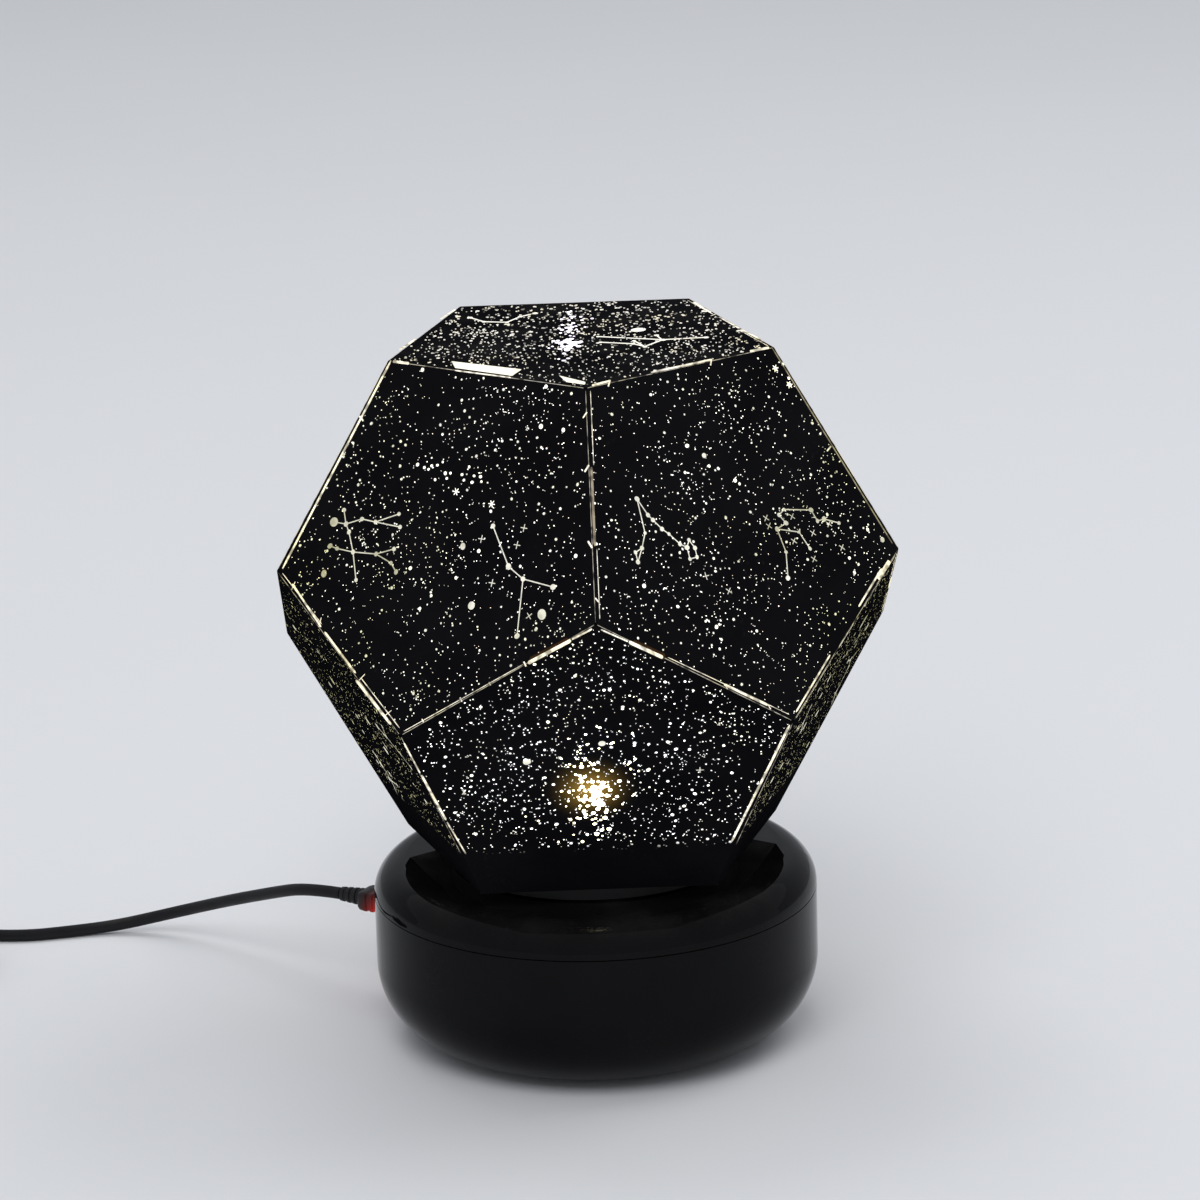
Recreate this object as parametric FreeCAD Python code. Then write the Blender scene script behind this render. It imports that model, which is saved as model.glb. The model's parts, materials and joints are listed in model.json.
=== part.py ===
"""A desk planetarium: a star lantern on a motor-driven turntable over a round base with a USB lead.

Millimetres, +Z up. The origin is on the table under the middle of the base, and -Y is the front.
"""

import FreeCAD
import Part
import math
import os

from FreeCAD import Vector

# The lantern, a regular dodecahedron of printed film
edge_length = 64.0
panel_thickness = 0.8
seam_gap = 0.3
tab_thickness = 0.4
tab_width = 5.5
tab_span_shares = ((0.12, 0.345), (0.67, 0.88))
floor_hole_radius = 22.0
sides = 5

# The base, two moulded shells that part below the rounded rim
flat_margin = 2.65
head_room = 9.4
base_wall = 2.2
rim_radius = 8.8
edge_radius = 22.0
parting_drop = 9.2
parting_gap = 0.3
lip_depth = 3.0
lip_wall = 1.8
lip_clearance = 0.25
hub_hole_clearance = 0.6

# Feet, and the columns and screws that join the shells
foot_radius = 5.0
foot_thickness = 2.0
foot_sink = 0.8
foot_clearance = 0.2
foot_inset = 1.8
foot_count = 4
column_inset = 4.3
column_angles = (65.0, 115.0, 200.0, 340.0)
column_radius = 4.2
column_height = 22.8
column_roof = 4.0
boss_radius = 3.6
screw_head_radius = 2.8
screw_head_height = 1.8
screw_radius = 1.2
screw_length = 10.0
screw_clearance = 0.4
thread_clearance = 0.03
pilot_margin = 1.0
small_pilot_margin = 0.4

# The turntable, its bushes and its gear
drum_radius = 40.0
drum_height = 4.4
drum_gap = 0.5
drum_wall = 2.0
spigot_height = 3.0
spigot_wall = 2.2
spigot_clearance = 0.35
hub_radius = 10.0
bush_wall = 1.95
bush_length = 7.0
seat_clearance = 0.05
running_clearance = 0.05
gear_module = 0.8
gear_teeth = 60
pinion_teeth = 15
pressure_angle = 20.0
gear_backlash = 0.2
addendum_share = 1.0
dedendum_share = 1.3
flank_steps = 4
gear_thickness = 4.0
gear_rise = 4.7
gear_collar_radius = 14.0
gear_collar_height = 3.0
pinion_thickness = 6.0

# The hollow lamp post and the lamp on it
post_radius = 6.0
post_bore = 3.5
post_foot_radius = 8.5
post_flange_radius = 15.0
post_flange_height = 3.0
pad_radius = 16.0
pad_height = 4.0
post_window_radius = 2.4
post_window_height = 5.0
post_screw_circle = 11.7
post_screw_count = 3
post_screw_angle = 30.0
small_screw_radius = 1.0
small_screw_head_radius = 1.9
small_screw_head_height = 1.3
small_screw_bite = 4.4
slot_length_share = 1.2
washer_radius = 10.0
washer_thickness = 1.2
washer_clearance = 0.1
thrust_gap = 0.1
clip_radius = 8.0
clip_thickness = 0.9
clip_groove = 0.5
clip_gap = 0.4
clip_mouth = 7.0
lamp_rise = 12.87
lamp_board_radius = 8.0
board_thickness = 1.2
led_side = 5.0
led_height = 0.9
lens_radius = 2.3
lens_height = 1.3

# The control board, its socket, switches and lights
board_inner_gap = 5.5
board_edge_gap = 2.8
board_step = 1.5
board_from_angle = 80.0
board_to_angle = 171.0
board_screw_inset = 5.0
board_screw_angles = (109.0, 141.0, 160.0)
board_post_radius = 3.0
chip_inset = 6.5
chip_angles = (92.0, 125.0, 150.0)
chip_length = 5.2
chip_width = 4.0
chip_height = 1.5
port_angle = 150.0
socket_width = 7.5
socket_height = 2.6
socket_depth = 5.2
socket_skin = 0.24
socket_inset = 0.3
port_hole_width = 8.4
port_hole_height = 3.4
charge_light_radius = 1.5
charge_light_length = 6.0
charge_light_flange = 0.45
charge_light_flange_length = 1.0
light_hole_clearance = 0.1

# The two push buttons
power_angle = 118.0
rotation_angle = 100.0
button_radius = 3.4
button_hole_clearance = 0.35
button_stand = 1.3
button_round = 0.6
button_flange = 1.2
button_flange_thickness = 1.0
button_inset = 0.4
button_travel = 0.8
switch_width = 6.0
switch_depth = 4.0
switch_height = 5.0
switch_gap = 2.2
stem_radius = 1.6
stem_clearance = 0.3
stem_entry = 1.2
stem_stop_gap = 0.6

# The battery
battery_radius = 9.0
battery_length = 65.0
battery_gap = 4.2
battery_lift = 2.4
battery_clearance = 0.2
holder_wall = 1.6
holder_share = 0.45
holder_foot_share = 0.7
contact_thickness = 0.5
contact_width = 10.0

# The gear motor
motor_angle = 20.0
motor_width = 12.0
motor_depth = 10.0
can_length = 15.5
gearbox_length = 9.5
motor_shaft_radius = 1.5
motor_shaft_entry = 6.0
shaft_stub = 0.6
pinion_gap = 1.6
motor_seat = 2.1
bracket_wall = 2.0
bracket_height = 12.0
bracket_clearance = 0.15
bracket_slot = 4.0
ear_length = 7.0
ear_thickness = 2.5
ear_screw_inset = 3.4
ear_boss_radius = 3.0
ear_boss_height = 4.0

# The leads inside the base
lead_radius = 0.6
lead_pitch = 1.8
lead_bend = 3.0
lead_inset = 3.0
lead_bow = 2.4
lead_out = 5.0
battery_lead_out = 7.3
lamp_lead_angle = 100.0
motor_lead_height = 13.0
motor_lead_turn_gap = 1.0
motor_lead_angles = (72.0, 87.4)
plus_lead_angles = (2.5, 37.0, 80.6)
minus_lead_angle = 167.0

# The USB lead: its plug at the lamp
plug_gap = 0.3
plug_width = 9.6
plug_height = 5.6
plug_length = 14.0
plug_round = 1.4
plug_relief_length = 7.4
plug_relief_radius = 2.5
plug_relief_end_radius = 2.0
tip_width = 6.85
tip_height = 1.8
tip_entry = 6.9

# The USB lead: the cord on the table, and its put-away coil
cord_radius = 1.75
cord_first_run = 11.8
cord_route = (
    (-93.0, 59.8, 22.6),
    (-107.5, 76.6, 14.6),
    (-124.5, 90.8, 6.4),
    (-140.5, 93.4, 2.3),
    (-154.5, 91.2, 1.75),
    (-168.0, 88.6, 1.75),
    (-185.0, 91.9, 1.75),
    (-201.0, 91.9, 1.75),
)
arc_run_share = 0.45
coil_outer_radius = 26.0
coil_turns = 7
coil_pitch = 4.0
coil_exit_run = 6.0
coil_drop_run = 14.0
gap_sample = 1.2
nearly_parallel = 1e-9
neighbour_diameters = 4
climb_steepness = 1.5

# The USB lead: its far plug
far_plug_width = 15.6
far_plug_height = 8.0
far_plug_length = 19.0
far_plug_round = 1.8
far_relief_length = 7.0
far_relief_radius = 3.2
far_relief_end_radius = 2.1
far_tip_width = 12.0
far_tip_height = 4.5
far_tip_length = 11.8
far_tip_skin = 0.4
far_tip_window = 2.4
far_tip_window_inset = 4.4
far_tip_window_offset = 2.9

# One overrun serves all cuts
overrun = 0.5

# The turntable's drive sets how wide and how tall the base is
gear_pitch_radius = gear_module * gear_teeth / 2
pinion_pitch_radius = gear_module * pinion_teeth / 2
motor_circle = gear_pitch_radius + pinion_pitch_radius
flat_radius = motor_circle + motor_depth / 2 + bracket_clearance + bracket_wall + flat_margin
base_radius = flat_radius + edge_radius
wall_inside = base_radius - base_wall
base_bottom = foot_thickness - foot_sink
inner_floor = base_bottom + base_wall
can_bottom = inner_floor + motor_seat
gearbox_top = can_bottom + can_length + gearbox_length
pinion_bottom = gearbox_top + pinion_gap
gear_bottom = pinion_bottom + (pinion_thickness - gear_thickness) / 2
hub_bottom = gear_bottom - gear_rise
plate_bottom = gear_bottom + gear_thickness + gear_collar_height + head_room
base_top = plate_bottom + base_wall
parting_height = base_top - parting_drop
lantern_bottom = base_top + drum_gap + drum_height

# The dodecahedron's rings of corners, and its height
golden = (1 + math.sqrt(5)) / 2
ring_radius = edge_length / (2 * math.sin(math.pi / sides))
belt_radius = ring_radius * golden
slope_run = belt_radius - ring_radius
slope_rise = math.sqrt(edge_length**2 - slope_run**2)
lantern_reach = ring_radius * golden**2 / 2
lantern_middle = lantern_bottom + lantern_reach
belt_height = lantern_reach - slope_rise

# Places that follow inside the base
lamp_top = lantern_bottom + lamp_rise
lamp_board_bottom = lamp_top - board_thickness
shoulder_height = hub_bottom - thrust_gap - washer_thickness
flange_bottom = inner_floor + pad_height
foot_circle = flat_radius - foot_radius - foot_inset
column_circle = flat_radius - column_inset
column_top = base_bottom + column_height
board_bottom = column_top + board_step
board_top = board_bottom + board_thickness
board_inner_radius = column_circle + board_inner_gap
board_outer_radius = wall_inside - board_edge_gap
board_screw_circle = board_inner_radius + board_screw_inset
chip_circle = board_inner_radius + chip_inset
lead_circle = board_inner_radius + lead_inset
port_height = board_top + socket_height / 2
holder_half_width = battery_radius + battery_clearance + holder_wall
battery_circle = post_flange_radius + battery_gap + holder_half_width
small_hole_radius = small_screw_radius + seat_clearance

# Where the lead leaves its plug
plug_face = base_radius + plug_gap
plug_end = plug_face + plug_length + plug_relief_length


def at_angle(radius, angle, height=0.0):
    """The point at this distance from the axis, turned by angle degrees from +X."""
    turn = math.radians(angle)
    return Vector(radius * math.cos(turn), radius * math.sin(turn), height)


def turned(start, *steps):
    """A solid turned about Z through (radius, height) points. A pair of points is an arc."""
    edges = []
    first = Vector(start[0], 0, start[1])
    here = first
    for step in steps:
        if isinstance(step[0], tuple):
            through = Vector(step[0][0], 0, step[0][1])
            there = Vector(step[1][0], 0, step[1][1])
            edges.append(Part.Arc(here, through, there).toShape())
        else:
            there = Vector(step[0], 0, step[1])
            edges.append(Part.LineSegment(here, there).toShape())
        here = there
    edges.append(Part.LineSegment(here, first).toShape())
    return Part.Face(Part.Wire(edges)).revolve(Vector(), Vector(0, 0, 1), 360)


def on_circle(middle, radius, angle):
    """The (radius, height) point on a circle of the outline, at angle degrees."""
    turn = math.radians(angle)
    return (middle[0] + radius * math.cos(turn), middle[1] + radius * math.sin(turn))


def cylinder(radius, low, high, place=Vector()):
    """An upright cylinder between two heights, with its axis through place."""
    return Part.makeCylinder(radius, high - low, Vector(place.x, place.y, low))


def block(low, high):
    """A box between two corners."""
    return Part.makeBox(high.x - low.x, high.y - low.y, high.z - low.z, low)


def centred_block(length, width, height, middle):
    """A box of these sizes along X, Y and Z about its middle."""
    half = Vector(length / 2, width / 2, height / 2)
    return block(middle - half, middle + half)


def facing(shape, angle):
    """The shape, made along +X, turned to face outwards at angle degrees."""
    turned_shape = shape.copy()
    turned_shape.rotate(Vector(), Vector(0, 0, 1), angle)
    return turned_shape


def closed_prism(outer, inner):
    """The solid between two polygons with as many corners, one behind the other."""
    faces = [
        Part.Face(Part.makePolygon(outer + outer[:1])),
        Part.Face(Part.makePolygon(inner + inner[:1])),
    ]
    for k in range(len(outer)):
        after = (k + 1) % len(outer)
        ring = [outer[k], outer[after], inner[after], inner[k], outer[k]]
        faces.append(Part.Face(Part.makePolygon(ring)))
    solid = Part.Solid(Part.Shell(faces))
    if solid.Volume < 0:
        solid.reverse()
    return solid


def export(name, *shapes):
    """Writes one node as a STEP file of its solids."""
    solids = [solid for shape in shapes for solid in shape.Solids]
    made = solids[0] if len(solids) == 1 else Part.makeCompound(solids)
    bad = [solid for solid in solids if not solid.isValid() or solid.Volume <= 0]
    made.exportStep(f"parts/{name}.step")
    print(f"{name}: {len(solids)} solid(s), {made.Volume:.2f} mm3, {'INVALID' if bad else 'valid'}")


def lantern_ring(radius, height, first_azimuth):
    """Five corners of the dodecahedron about its middle. Azimuth 0 is the front."""
    corners = []
    for k in range(sides):
        azimuth = math.radians(first_azimuth + k * 360 / sides)
        corners.append(Vector(radius * math.sin(azimuth), -radius * math.cos(azimuth), height))
    return corners


def lantern_corners():
    """The four rings of corners: top, upper belt, lower belt and bottom."""
    half_step = 180 / sides
    return (
        lantern_ring(ring_radius, lantern_reach, 0),
        lantern_ring(belt_radius, belt_height, 0),
        lantern_ring(belt_radius, -belt_height, half_step),
        lantern_ring(ring_radius, -lantern_reach, half_step),
    )


def panel(corners):
    """One film panel, mitred to its neighbours and short of each seam by half its gap."""
    middle = sum(corners, Vector()) * (1 / sides)
    apothem = ((corners[0] + corners[1]) * 0.5 - middle).Length
    shrink = 1 - seam_gap / 2 / apothem
    outer = [middle + (corner - middle) * shrink for corner in corners]
    depth_share = (lantern_reach - panel_thickness) / lantern_reach
    inner = [corner * depth_share for corner in outer]
    plate = closed_prism(outer, inner)
    plate.translate(Vector(0, 0, lantern_middle))
    return plate


def seam_tabs(start, end, one_middle, other_middle):
    """The two glued tabs behind one seam, bent along it."""
    along = (end - start).normalize()
    seam_middle = (start + end) * 0.5
    outer_share = (lantern_reach - panel_thickness) / lantern_reach
    inner_share = (lantern_reach - panel_thickness - tab_thickness) / lantern_reach
    tabs = []
    for span in tab_span_shares:
        ends = []
        for share in span:
            shift = along * ((share - 0.5) * edge_length)
            profile = []
            for face_middle in (one_middle, other_middle):
                inward = (face_middle - seam_middle).normalize() * tab_width
                outward = Vector(face_middle).normalize() * tab_thickness
                wing = seam_middle * outer_share + inward + shift
                profile.append((wing, wing - outward))
            fold = seam_middle * outer_share + shift
            inner_fold = seam_middle * inner_share + shift
            ends.append([profile[0][0], fold, profile[1][0], profile[1][1], inner_fold, profile[0][1]])
        tab = closed_prism(ends[0], ends[1])
        tab.translate(Vector(0, 0, lantern_middle))
        tabs.append(tab)
    return tabs


def make_lantern():
    """The eleven star panels, the floor with its hole, and the tabs that join them."""
    top, upper, lower, bottom = lantern_corners()
    top_middle = Vector(0, 0, lantern_reach)
    upper_faces = []
    lower_faces = []
    for k in range(sides):
        after = (k + 1) % sides
        upper_faces.append([top[k], top[after], upper[after], lower[k], upper[k]])
        lower_faces.append([upper[k], lower[k], bottom[k], bottom[k - 1], lower[k - 1]])
    upper_middles = [sum(face, Vector()) * (1 / sides) for face in upper_faces]
    lower_middles = [sum(face, Vector()) * (1 / sides) for face in lower_faces]
    export("star_panel_top", panel(top))
    for k in range(sides):
        export(f"star_panel_upper_{k + 1}", panel(upper_faces[k]))
        export(f"star_panel_lower_{k + 1}", panel(lower_faces[k]))
    floor = panel(bottom)
    hole = cylinder(floor_hole_radius, lantern_bottom - overrun, lantern_bottom + panel_thickness + overrun)
    export("lantern_floor", floor.cut(hole))
    groups = {"top": [], "upper": [], "middle": [], "lower": [], "floor": []}
    for k in range(sides):
        after = (k + 1) % sides
        groups["top"] += seam_tabs(top[k], top[after], top_middle, upper_middles[k])
        groups["upper"] += seam_tabs(top[k], upper[k], upper_middles[k - 1], upper_middles[k])
        groups["middle"] += seam_tabs(upper[k], lower[k], upper_middles[k], lower_middles[k])
        groups["middle"] += seam_tabs(lower[k], upper[after], upper_middles[k], lower_middles[after])
        groups["lower"] += seam_tabs(lower[k], bottom[k], lower_middles[k], lower_middles[after])
        groups["floor"] += seam_tabs(bottom[k], bottom[after], lower_middles[after], -top_middle)
    for name, tabs in groups.items():
        export(f"seam_tabs_{name}", *tabs)


def base_columns():
    """Where the four screw columns stand."""
    return [at_angle(column_circle, angle) for angle in column_angles]


def make_upper_shell():
    """The top plate with its rounded rim, a lip into the lower shell, and four bosses."""
    rim_middle = (base_radius - rim_radius, base_top - rim_radius)
    inner_rim = rim_radius - base_wall
    edge = parting_height + parting_gap / 2
    lip_outside = wall_inside - lip_clearance
    lip_inside = lip_outside - lip_wall
    lip_top = rim_middle[1] + lip_wall
    hole = hub_radius + hub_hole_clearance
    shell = turned(
        (hole, base_top),
        rim_middle[:1] + (base_top,),
        (on_circle(rim_middle, rim_radius, 45), (base_radius, rim_middle[1])),
        (base_radius, edge),
        (wall_inside, edge),
        (wall_inside, rim_middle[1]),
        (on_circle(rim_middle, inner_rim, 45), (rim_middle[0], plate_bottom)),
        (hole, plate_bottom),
    )
    lip = turned(
        (lip_inside, lip_top),
        (wall_inside + overrun, lip_top),
        (wall_inside + overrun, edge),
        (lip_outside, edge),
        (lip_outside, parting_height - lip_depth),
        (lip_inside, parting_height - lip_depth),
    )
    shell = shell.fuse(lip)
    for place in base_columns():
        shell = shell.fuse(cylinder(boss_radius, column_top, plate_bottom + overrun, place))
    for place in base_columns():
        pilot_top = column_top - column_roof + screw_length + pilot_margin
        pilot = cylinder(screw_radius + thread_clearance, column_top - overrun, pilot_top, place)
        shell = shell.cut(pilot)
    export("base_upper_shell", shell.removeSplitter())


def lower_bowl():
    """The lower shell's plain bowl, rounded to the flat underside."""
    middle = (base_radius - edge_radius, base_bottom + edge_radius)
    inner_radius = edge_radius - base_wall
    edge = parting_height - parting_gap / 2
    return turned(
        (0.0, base_bottom),
        (middle[0], base_bottom),
        (on_circle(middle, edge_radius, -45), (base_radius, middle[1])),
        (base_radius, edge),
        (wall_inside, edge),
        (wall_inside, middle[1]),
        (on_circle(middle, inner_radius, -45), (middle[0], inner_floor)),
        (0.0, inner_floor),
    )


def bowl_core(floor, bend, inset=0.0):
    """What fills the bowl from this floor up, to a wall with this bend at its foot."""
    middle = (base_radius - edge_radius - inset, base_bottom + edge_radius)
    foot = math.degrees(math.asin(max((floor - middle[1]) / bend, -1)))
    start = on_circle(middle, bend, foot)
    return turned(
        (0.0, floor),
        start,
        (on_circle(middle, bend, foot / 2), (middle[0] + bend, middle[1])),
        (middle[0] + bend, parting_height),
        (0.0, parting_height),
    )


def ear_screw_places():
    """The motor bracket's two screws, on either side of the motor."""
    reach = motor_width / 2 + bracket_clearance + bracket_wall + ear_length - ear_screw_inset
    return [facing_point(motor_circle, side * reach, motor_angle) for side in (-1, 1)]


def facing_point(outward, sideways, angle):
    """A point given along and across the direction at angle degrees."""
    return at_angle(outward, angle) + at_angle(sideways, angle + 90)


def post_screw_places():
    """The lamp post flange's screws."""
    step = 360 / post_screw_count
    return [at_angle(post_screw_circle, post_screw_angle + k * step) for k in range(post_screw_count)]


def board_screw_places():
    """The control board's screws."""
    return [at_angle(board_screw_circle, angle) for angle in board_screw_angles]


def make_lower_shell():
    """The bowl with its columns, pad, bosses, and the openings in its wall."""
    shell = lower_bowl()
    sunk = inner_floor - base_wall / 2
    shell = shell.fuse(cylinder(pad_radius, sunk, flange_bottom))
    inside = bowl_core(sunk, edge_radius - base_wall / 2)
    for place in base_columns():
        shell = shell.fuse(cylinder(column_radius, sunk, column_top, place).common(inside))
    for place in board_screw_places():
        shell = shell.fuse(cylinder(board_post_radius, base_bottom, board_bottom, place).common(inside))
    for place in ear_screw_places():
        boss = cylinder(ear_boss_radius, sunk, inner_floor + ear_boss_height, place)
        shell = shell.fuse(boss.common(inside))
    for place in base_columns():
        seat = column_top - column_roof
        head_bore = screw_head_radius + screw_clearance
        shank_bore = screw_radius + screw_clearance
        shell = shell.cut(cylinder(head_bore, base_bottom - overrun, seat, place))
        shell = shell.cut(cylinder(shank_bore, seat - overrun, column_top + overrun, place))
    pilots = [(flange_bottom, place) for place in post_screw_places()]
    pilots += [(board_bottom, place) for place in board_screw_places()]
    pilots += [(inner_floor + ear_boss_height, place) for place in ear_screw_places()]
    for top, place in pilots:
        pilot_bottom = top - small_screw_bite - small_pilot_margin
        pilot = cylinder(small_screw_radius + thread_clearance, pilot_bottom, top + overrun, place)
        shell = shell.cut(pilot)
    for k in range(foot_count):
        place = at_angle(foot_circle, k * 360 / foot_count)
        recess = cylinder(foot_radius + foot_clearance, base_bottom - overrun, foot_thickness, place)
        shell = shell.cut(recess)
    through = base_wall + 2 * overrun
    wall_middle = Vector(base_radius - base_wall / 2, 0, port_height)
    port = centred_block(through, port_hole_width, port_hole_height, wall_middle)
    shell = shell.cut(facing(port, port_angle))
    outwards = Vector(1, 0, 0)
    hole_start = Vector(wall_inside - overrun, 0, light_height())
    light_hole = Part.makeCylinder(charge_light_radius + light_hole_clearance, through, hole_start, outwards)
    shell = shell.cut(facing(light_hole, port_angle))
    for angle in (power_angle, rotation_angle):
        hole_start = Vector(wall_inside - overrun, 0, button_height())
        hole = Part.makeCylinder(button_radius + button_hole_clearance, through, hole_start, outwards)
        shell = shell.cut(facing(hole, angle))
    export("base_lower_shell", shell.removeSplitter())


def light_height():
    """The charge light lies under the board, on its flange, and lights the plug from below."""
    return board_bottom - charge_light_radius - charge_light_flange


def button_height():
    """The buttons are level with the middle of their switches."""
    return board_top + switch_height / 2


def screw(head_radius, head_height, shank_radius, shank_length, place, seat, down=True):
    """A pan-head screw whose head bears on the seat height. It drives down, or up where down is false."""
    way = -1 if down else 1
    shank = Part.makeCylinder(shank_radius, shank_length, Vector(place.x, place.y, seat), Vector(0, 0, way))
    head = Part.makeCylinder(head_radius, head_height, Vector(place.x, place.y, seat), Vector(0, 0, -way))
    crown = Vector(place.x, place.y, seat - way * head_height)
    rims = [edge for edge in head.Edges if edge.Length > 2 * math.pi * shank_radius]
    crown_rims = [rim for rim in rims if abs(rim.BoundBox.ZMin - crown.z) < head_height / 4]
    head = head.makeFillet(head_height / 3, crown_rims)
    slot = centred_block(head_radius * slot_length_share, head_height / 3, head_height, crown)
    return shank.fuse(head).cut(slot)


def small_screw(place, seat, grip):
    """One of the small screws, through a grip of this thickness and into its boss."""
    length = grip + small_screw_bite
    return screw(small_screw_head_radius, small_screw_head_height, small_screw_radius, length, place, seat)


def make_base_hardware():
    """The rubber feet and the screws that join the shells."""
    feet = []
    for k in range(foot_count):
        place = at_angle(foot_circle, k * 360 / foot_count)
        foot = cylinder(foot_radius, 0.0, foot_thickness, place)
        low_rim = [edge for edge in foot.Edges if edge.BoundBox.ZMax < foot_sink / 2]
        feet.append(foot.makeFillet(foot_sink / 2, low_rim))
    export("rubber_feet", *feet)
    seat = column_top - column_roof
    export("base_screws", *[
        screw(screw_head_radius, screw_head_height, screw_radius, screw_length, place, seat, down=False)
        for place in base_columns()
    ])


def gear_outline(teeth):
    """The tooth points of an involute gear about the origin, with a tooth centred on +X."""
    pitch_radius = gear_module * teeth / 2
    angle = math.radians(pressure_angle)
    base = pitch_radius * math.cos(angle)
    tip = pitch_radius + addendum_share * gear_module
    root = pitch_radius - dedendum_share * gear_module
    half_tooth = math.pi / (2 * teeth) - gear_backlash / (4 * pitch_radius)
    involute_at_pitch = math.tan(angle) - angle
    flank_start = max(base, root)
    flank = []
    for k in range(flank_steps + 1):
        radius = flank_start + (tip - flank_start) * k / flank_steps
        roll = math.acos(min(1.0, base / radius))
        flank.append((radius, half_tooth + involute_at_pitch - math.tan(roll) + roll))
    if root < base:
        flank.insert(0, (root, flank[0][1]))
    points = []
    for k in range(teeth):
        middle = k * 2 * math.pi / teeth
        for radius, spread in flank:
            points.append(Vector(radius * math.cos(middle - spread), radius * math.sin(middle - spread), 0))
        for radius, spread in reversed(flank):
            points.append(Vector(radius * math.cos(middle + spread), radius * math.sin(middle + spread), 0))
    return points


def spur_gear(teeth, thickness, bore, low, angle):
    """A spur gear with a tooth centred at angle degrees."""
    points = gear_outline(teeth)
    blank = Part.Face(Part.makePolygon(points + points[:1])).extrude(Vector(0, 0, thickness))
    blank.rotate(Vector(), Vector(0, 0, 1), angle)
    blank.translate(Vector(0, 0, low))
    return blank.cut(cylinder(bore, low - overrun, low + thickness + overrun))


def make_turntable():
    """The drum that carries the lantern, its bushes, and its gear under the base's top plate."""
    drum_bottom = base_top + drum_gap
    hub_bore = post_radius + running_clearance + bush_wall + seat_clearance
    spigot_radius = floor_hole_radius - spigot_clearance
    drum = turned(
        (hub_bore, hub_bottom),
        (hub_radius, hub_bottom),
        (hub_radius, lantern_bottom - drum_wall),
        (drum_radius - drum_wall, lantern_bottom - drum_wall),
        (drum_radius - drum_wall, drum_bottom),
        (drum_radius, drum_bottom),
        (drum_radius, lantern_bottom),
        (spigot_radius, lantern_bottom),
        (spigot_radius, lantern_bottom + spigot_height),
        (spigot_radius - spigot_wall, lantern_bottom + spigot_height),
        (spigot_radius - spigot_wall, lantern_bottom),
        (hub_bore, lantern_bottom),
    )
    export("turntable_drum", drum)
    bushes = []
    for low in (hub_bottom, lantern_bottom - bush_length):
        sleeve = cylinder(hub_bore - seat_clearance, low, low + bush_length)
        bore = cylinder(post_radius + running_clearance, low - overrun, low + bush_length + overrun)
        bushes.append(sleeve.cut(bore))
    export("turntable_bushes", *bushes)
    bore = hub_radius + seat_clearance
    gear = spur_gear(gear_teeth, gear_thickness, bore, gear_bottom, motor_angle)
    collar_top = gear_bottom + gear_thickness + gear_collar_height
    collar = cylinder(gear_collar_radius, gear_bottom, collar_top)
    gear = gear.fuse(collar.cut(cylinder(bore, gear_bottom - overrun, collar_top + overrun)))
    export("turntable_gear", gear.removeSplitter())


def make_lamp_post():
    """The hollow post that the turntable runs on, with its washer and clip."""
    post = turned(
        (post_bore, flange_bottom),
        (post_flange_radius, flange_bottom),
        (post_flange_radius, flange_bottom + post_flange_height),
        (post_foot_radius, flange_bottom + post_flange_height),
        (post_foot_radius, shoulder_height),
        (post_radius, shoulder_height),
        (post_radius, clip_bottom() - seat_clearance),
        (post_radius - clip_groove, clip_bottom() - seat_clearance),
        (post_radius - clip_groove, clip_bottom() + clip_thickness + seat_clearance),
        (post_radius, clip_bottom() + clip_thickness + seat_clearance),
        (post_radius, lamp_board_bottom),
        (post_bore, lamp_board_bottom),
    )
    seat = flange_bottom + post_flange_height
    for place in post_screw_places():
        hole = cylinder(small_hole_radius, flange_bottom - overrun, seat + overrun, place)
        post = post.cut(hole)
    window_start = Vector(0, 0, lead_level())
    window = Part.makeCylinder(post_window_radius, post_foot_radius + overrun, window_start, Vector(1, 0, 0))
    post = post.cut(facing(window, lamp_lead_angle))
    export("lamp_post", post)
    export("post_screws", *[small_screw(place, seat, post_flange_height) for place in post_screw_places()])
    washer_top = shoulder_height + washer_thickness
    washer = cylinder(washer_radius, shoulder_height, washer_top)
    hole = cylinder(post_radius + washer_clearance, shoulder_height - overrun, washer_top + overrun)
    export("thrust_washer", washer.cut(hole))
    clip = cylinder(clip_radius, clip_bottom(), clip_bottom() + clip_thickness)
    clip_hole = post_radius - clip_groove + seat_clearance
    clip = clip.cut(cylinder(clip_hole, clip_bottom() - overrun, clip_bottom() + clip_thickness + overrun))
    mouth_middle = Vector(clip_radius, 0, clip_bottom() + clip_thickness / 2)
    mouth = centred_block(clip_radius, clip_mouth, clip_thickness + 2 * overrun, mouth_middle)
    export("retaining_clip", clip.cut(mouth))


def clip_bottom():
    """The clip lies just above the turntable's upper bush."""
    return lantern_bottom + clip_gap


def lead_level():
    """The lamp leads leave the post through a window above its flange."""
    return flange_bottom + post_flange_height + post_window_height


def make_lamp():
    """The lamp board on the post, with its chip under a clear dome."""
    export("lamp_board", cylinder(lamp_board_radius, lamp_board_bottom, lamp_top))
    chip_middle = Vector(0, 0, lamp_top + led_height / 2)
    export("led_chip", centred_block(led_side, led_side, led_height, chip_middle))
    dome_base = lamp_top + led_height
    sphere_radius = (lens_radius**2 + lens_height**2) / (2 * lens_height)
    sphere_middle = (0.0, dome_base + lens_height - sphere_radius)
    half_rise = math.degrees(math.asin((dome_base - sphere_middle[1]) / sphere_radius))
    through = on_circle(sphere_middle, sphere_radius, (half_rise + 90) / 2)
    crown = (0.0, dome_base + lens_height)
    export("led_lens", turned((0.0, dome_base), (lens_radius, dome_base), (through, crown)))


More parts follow.
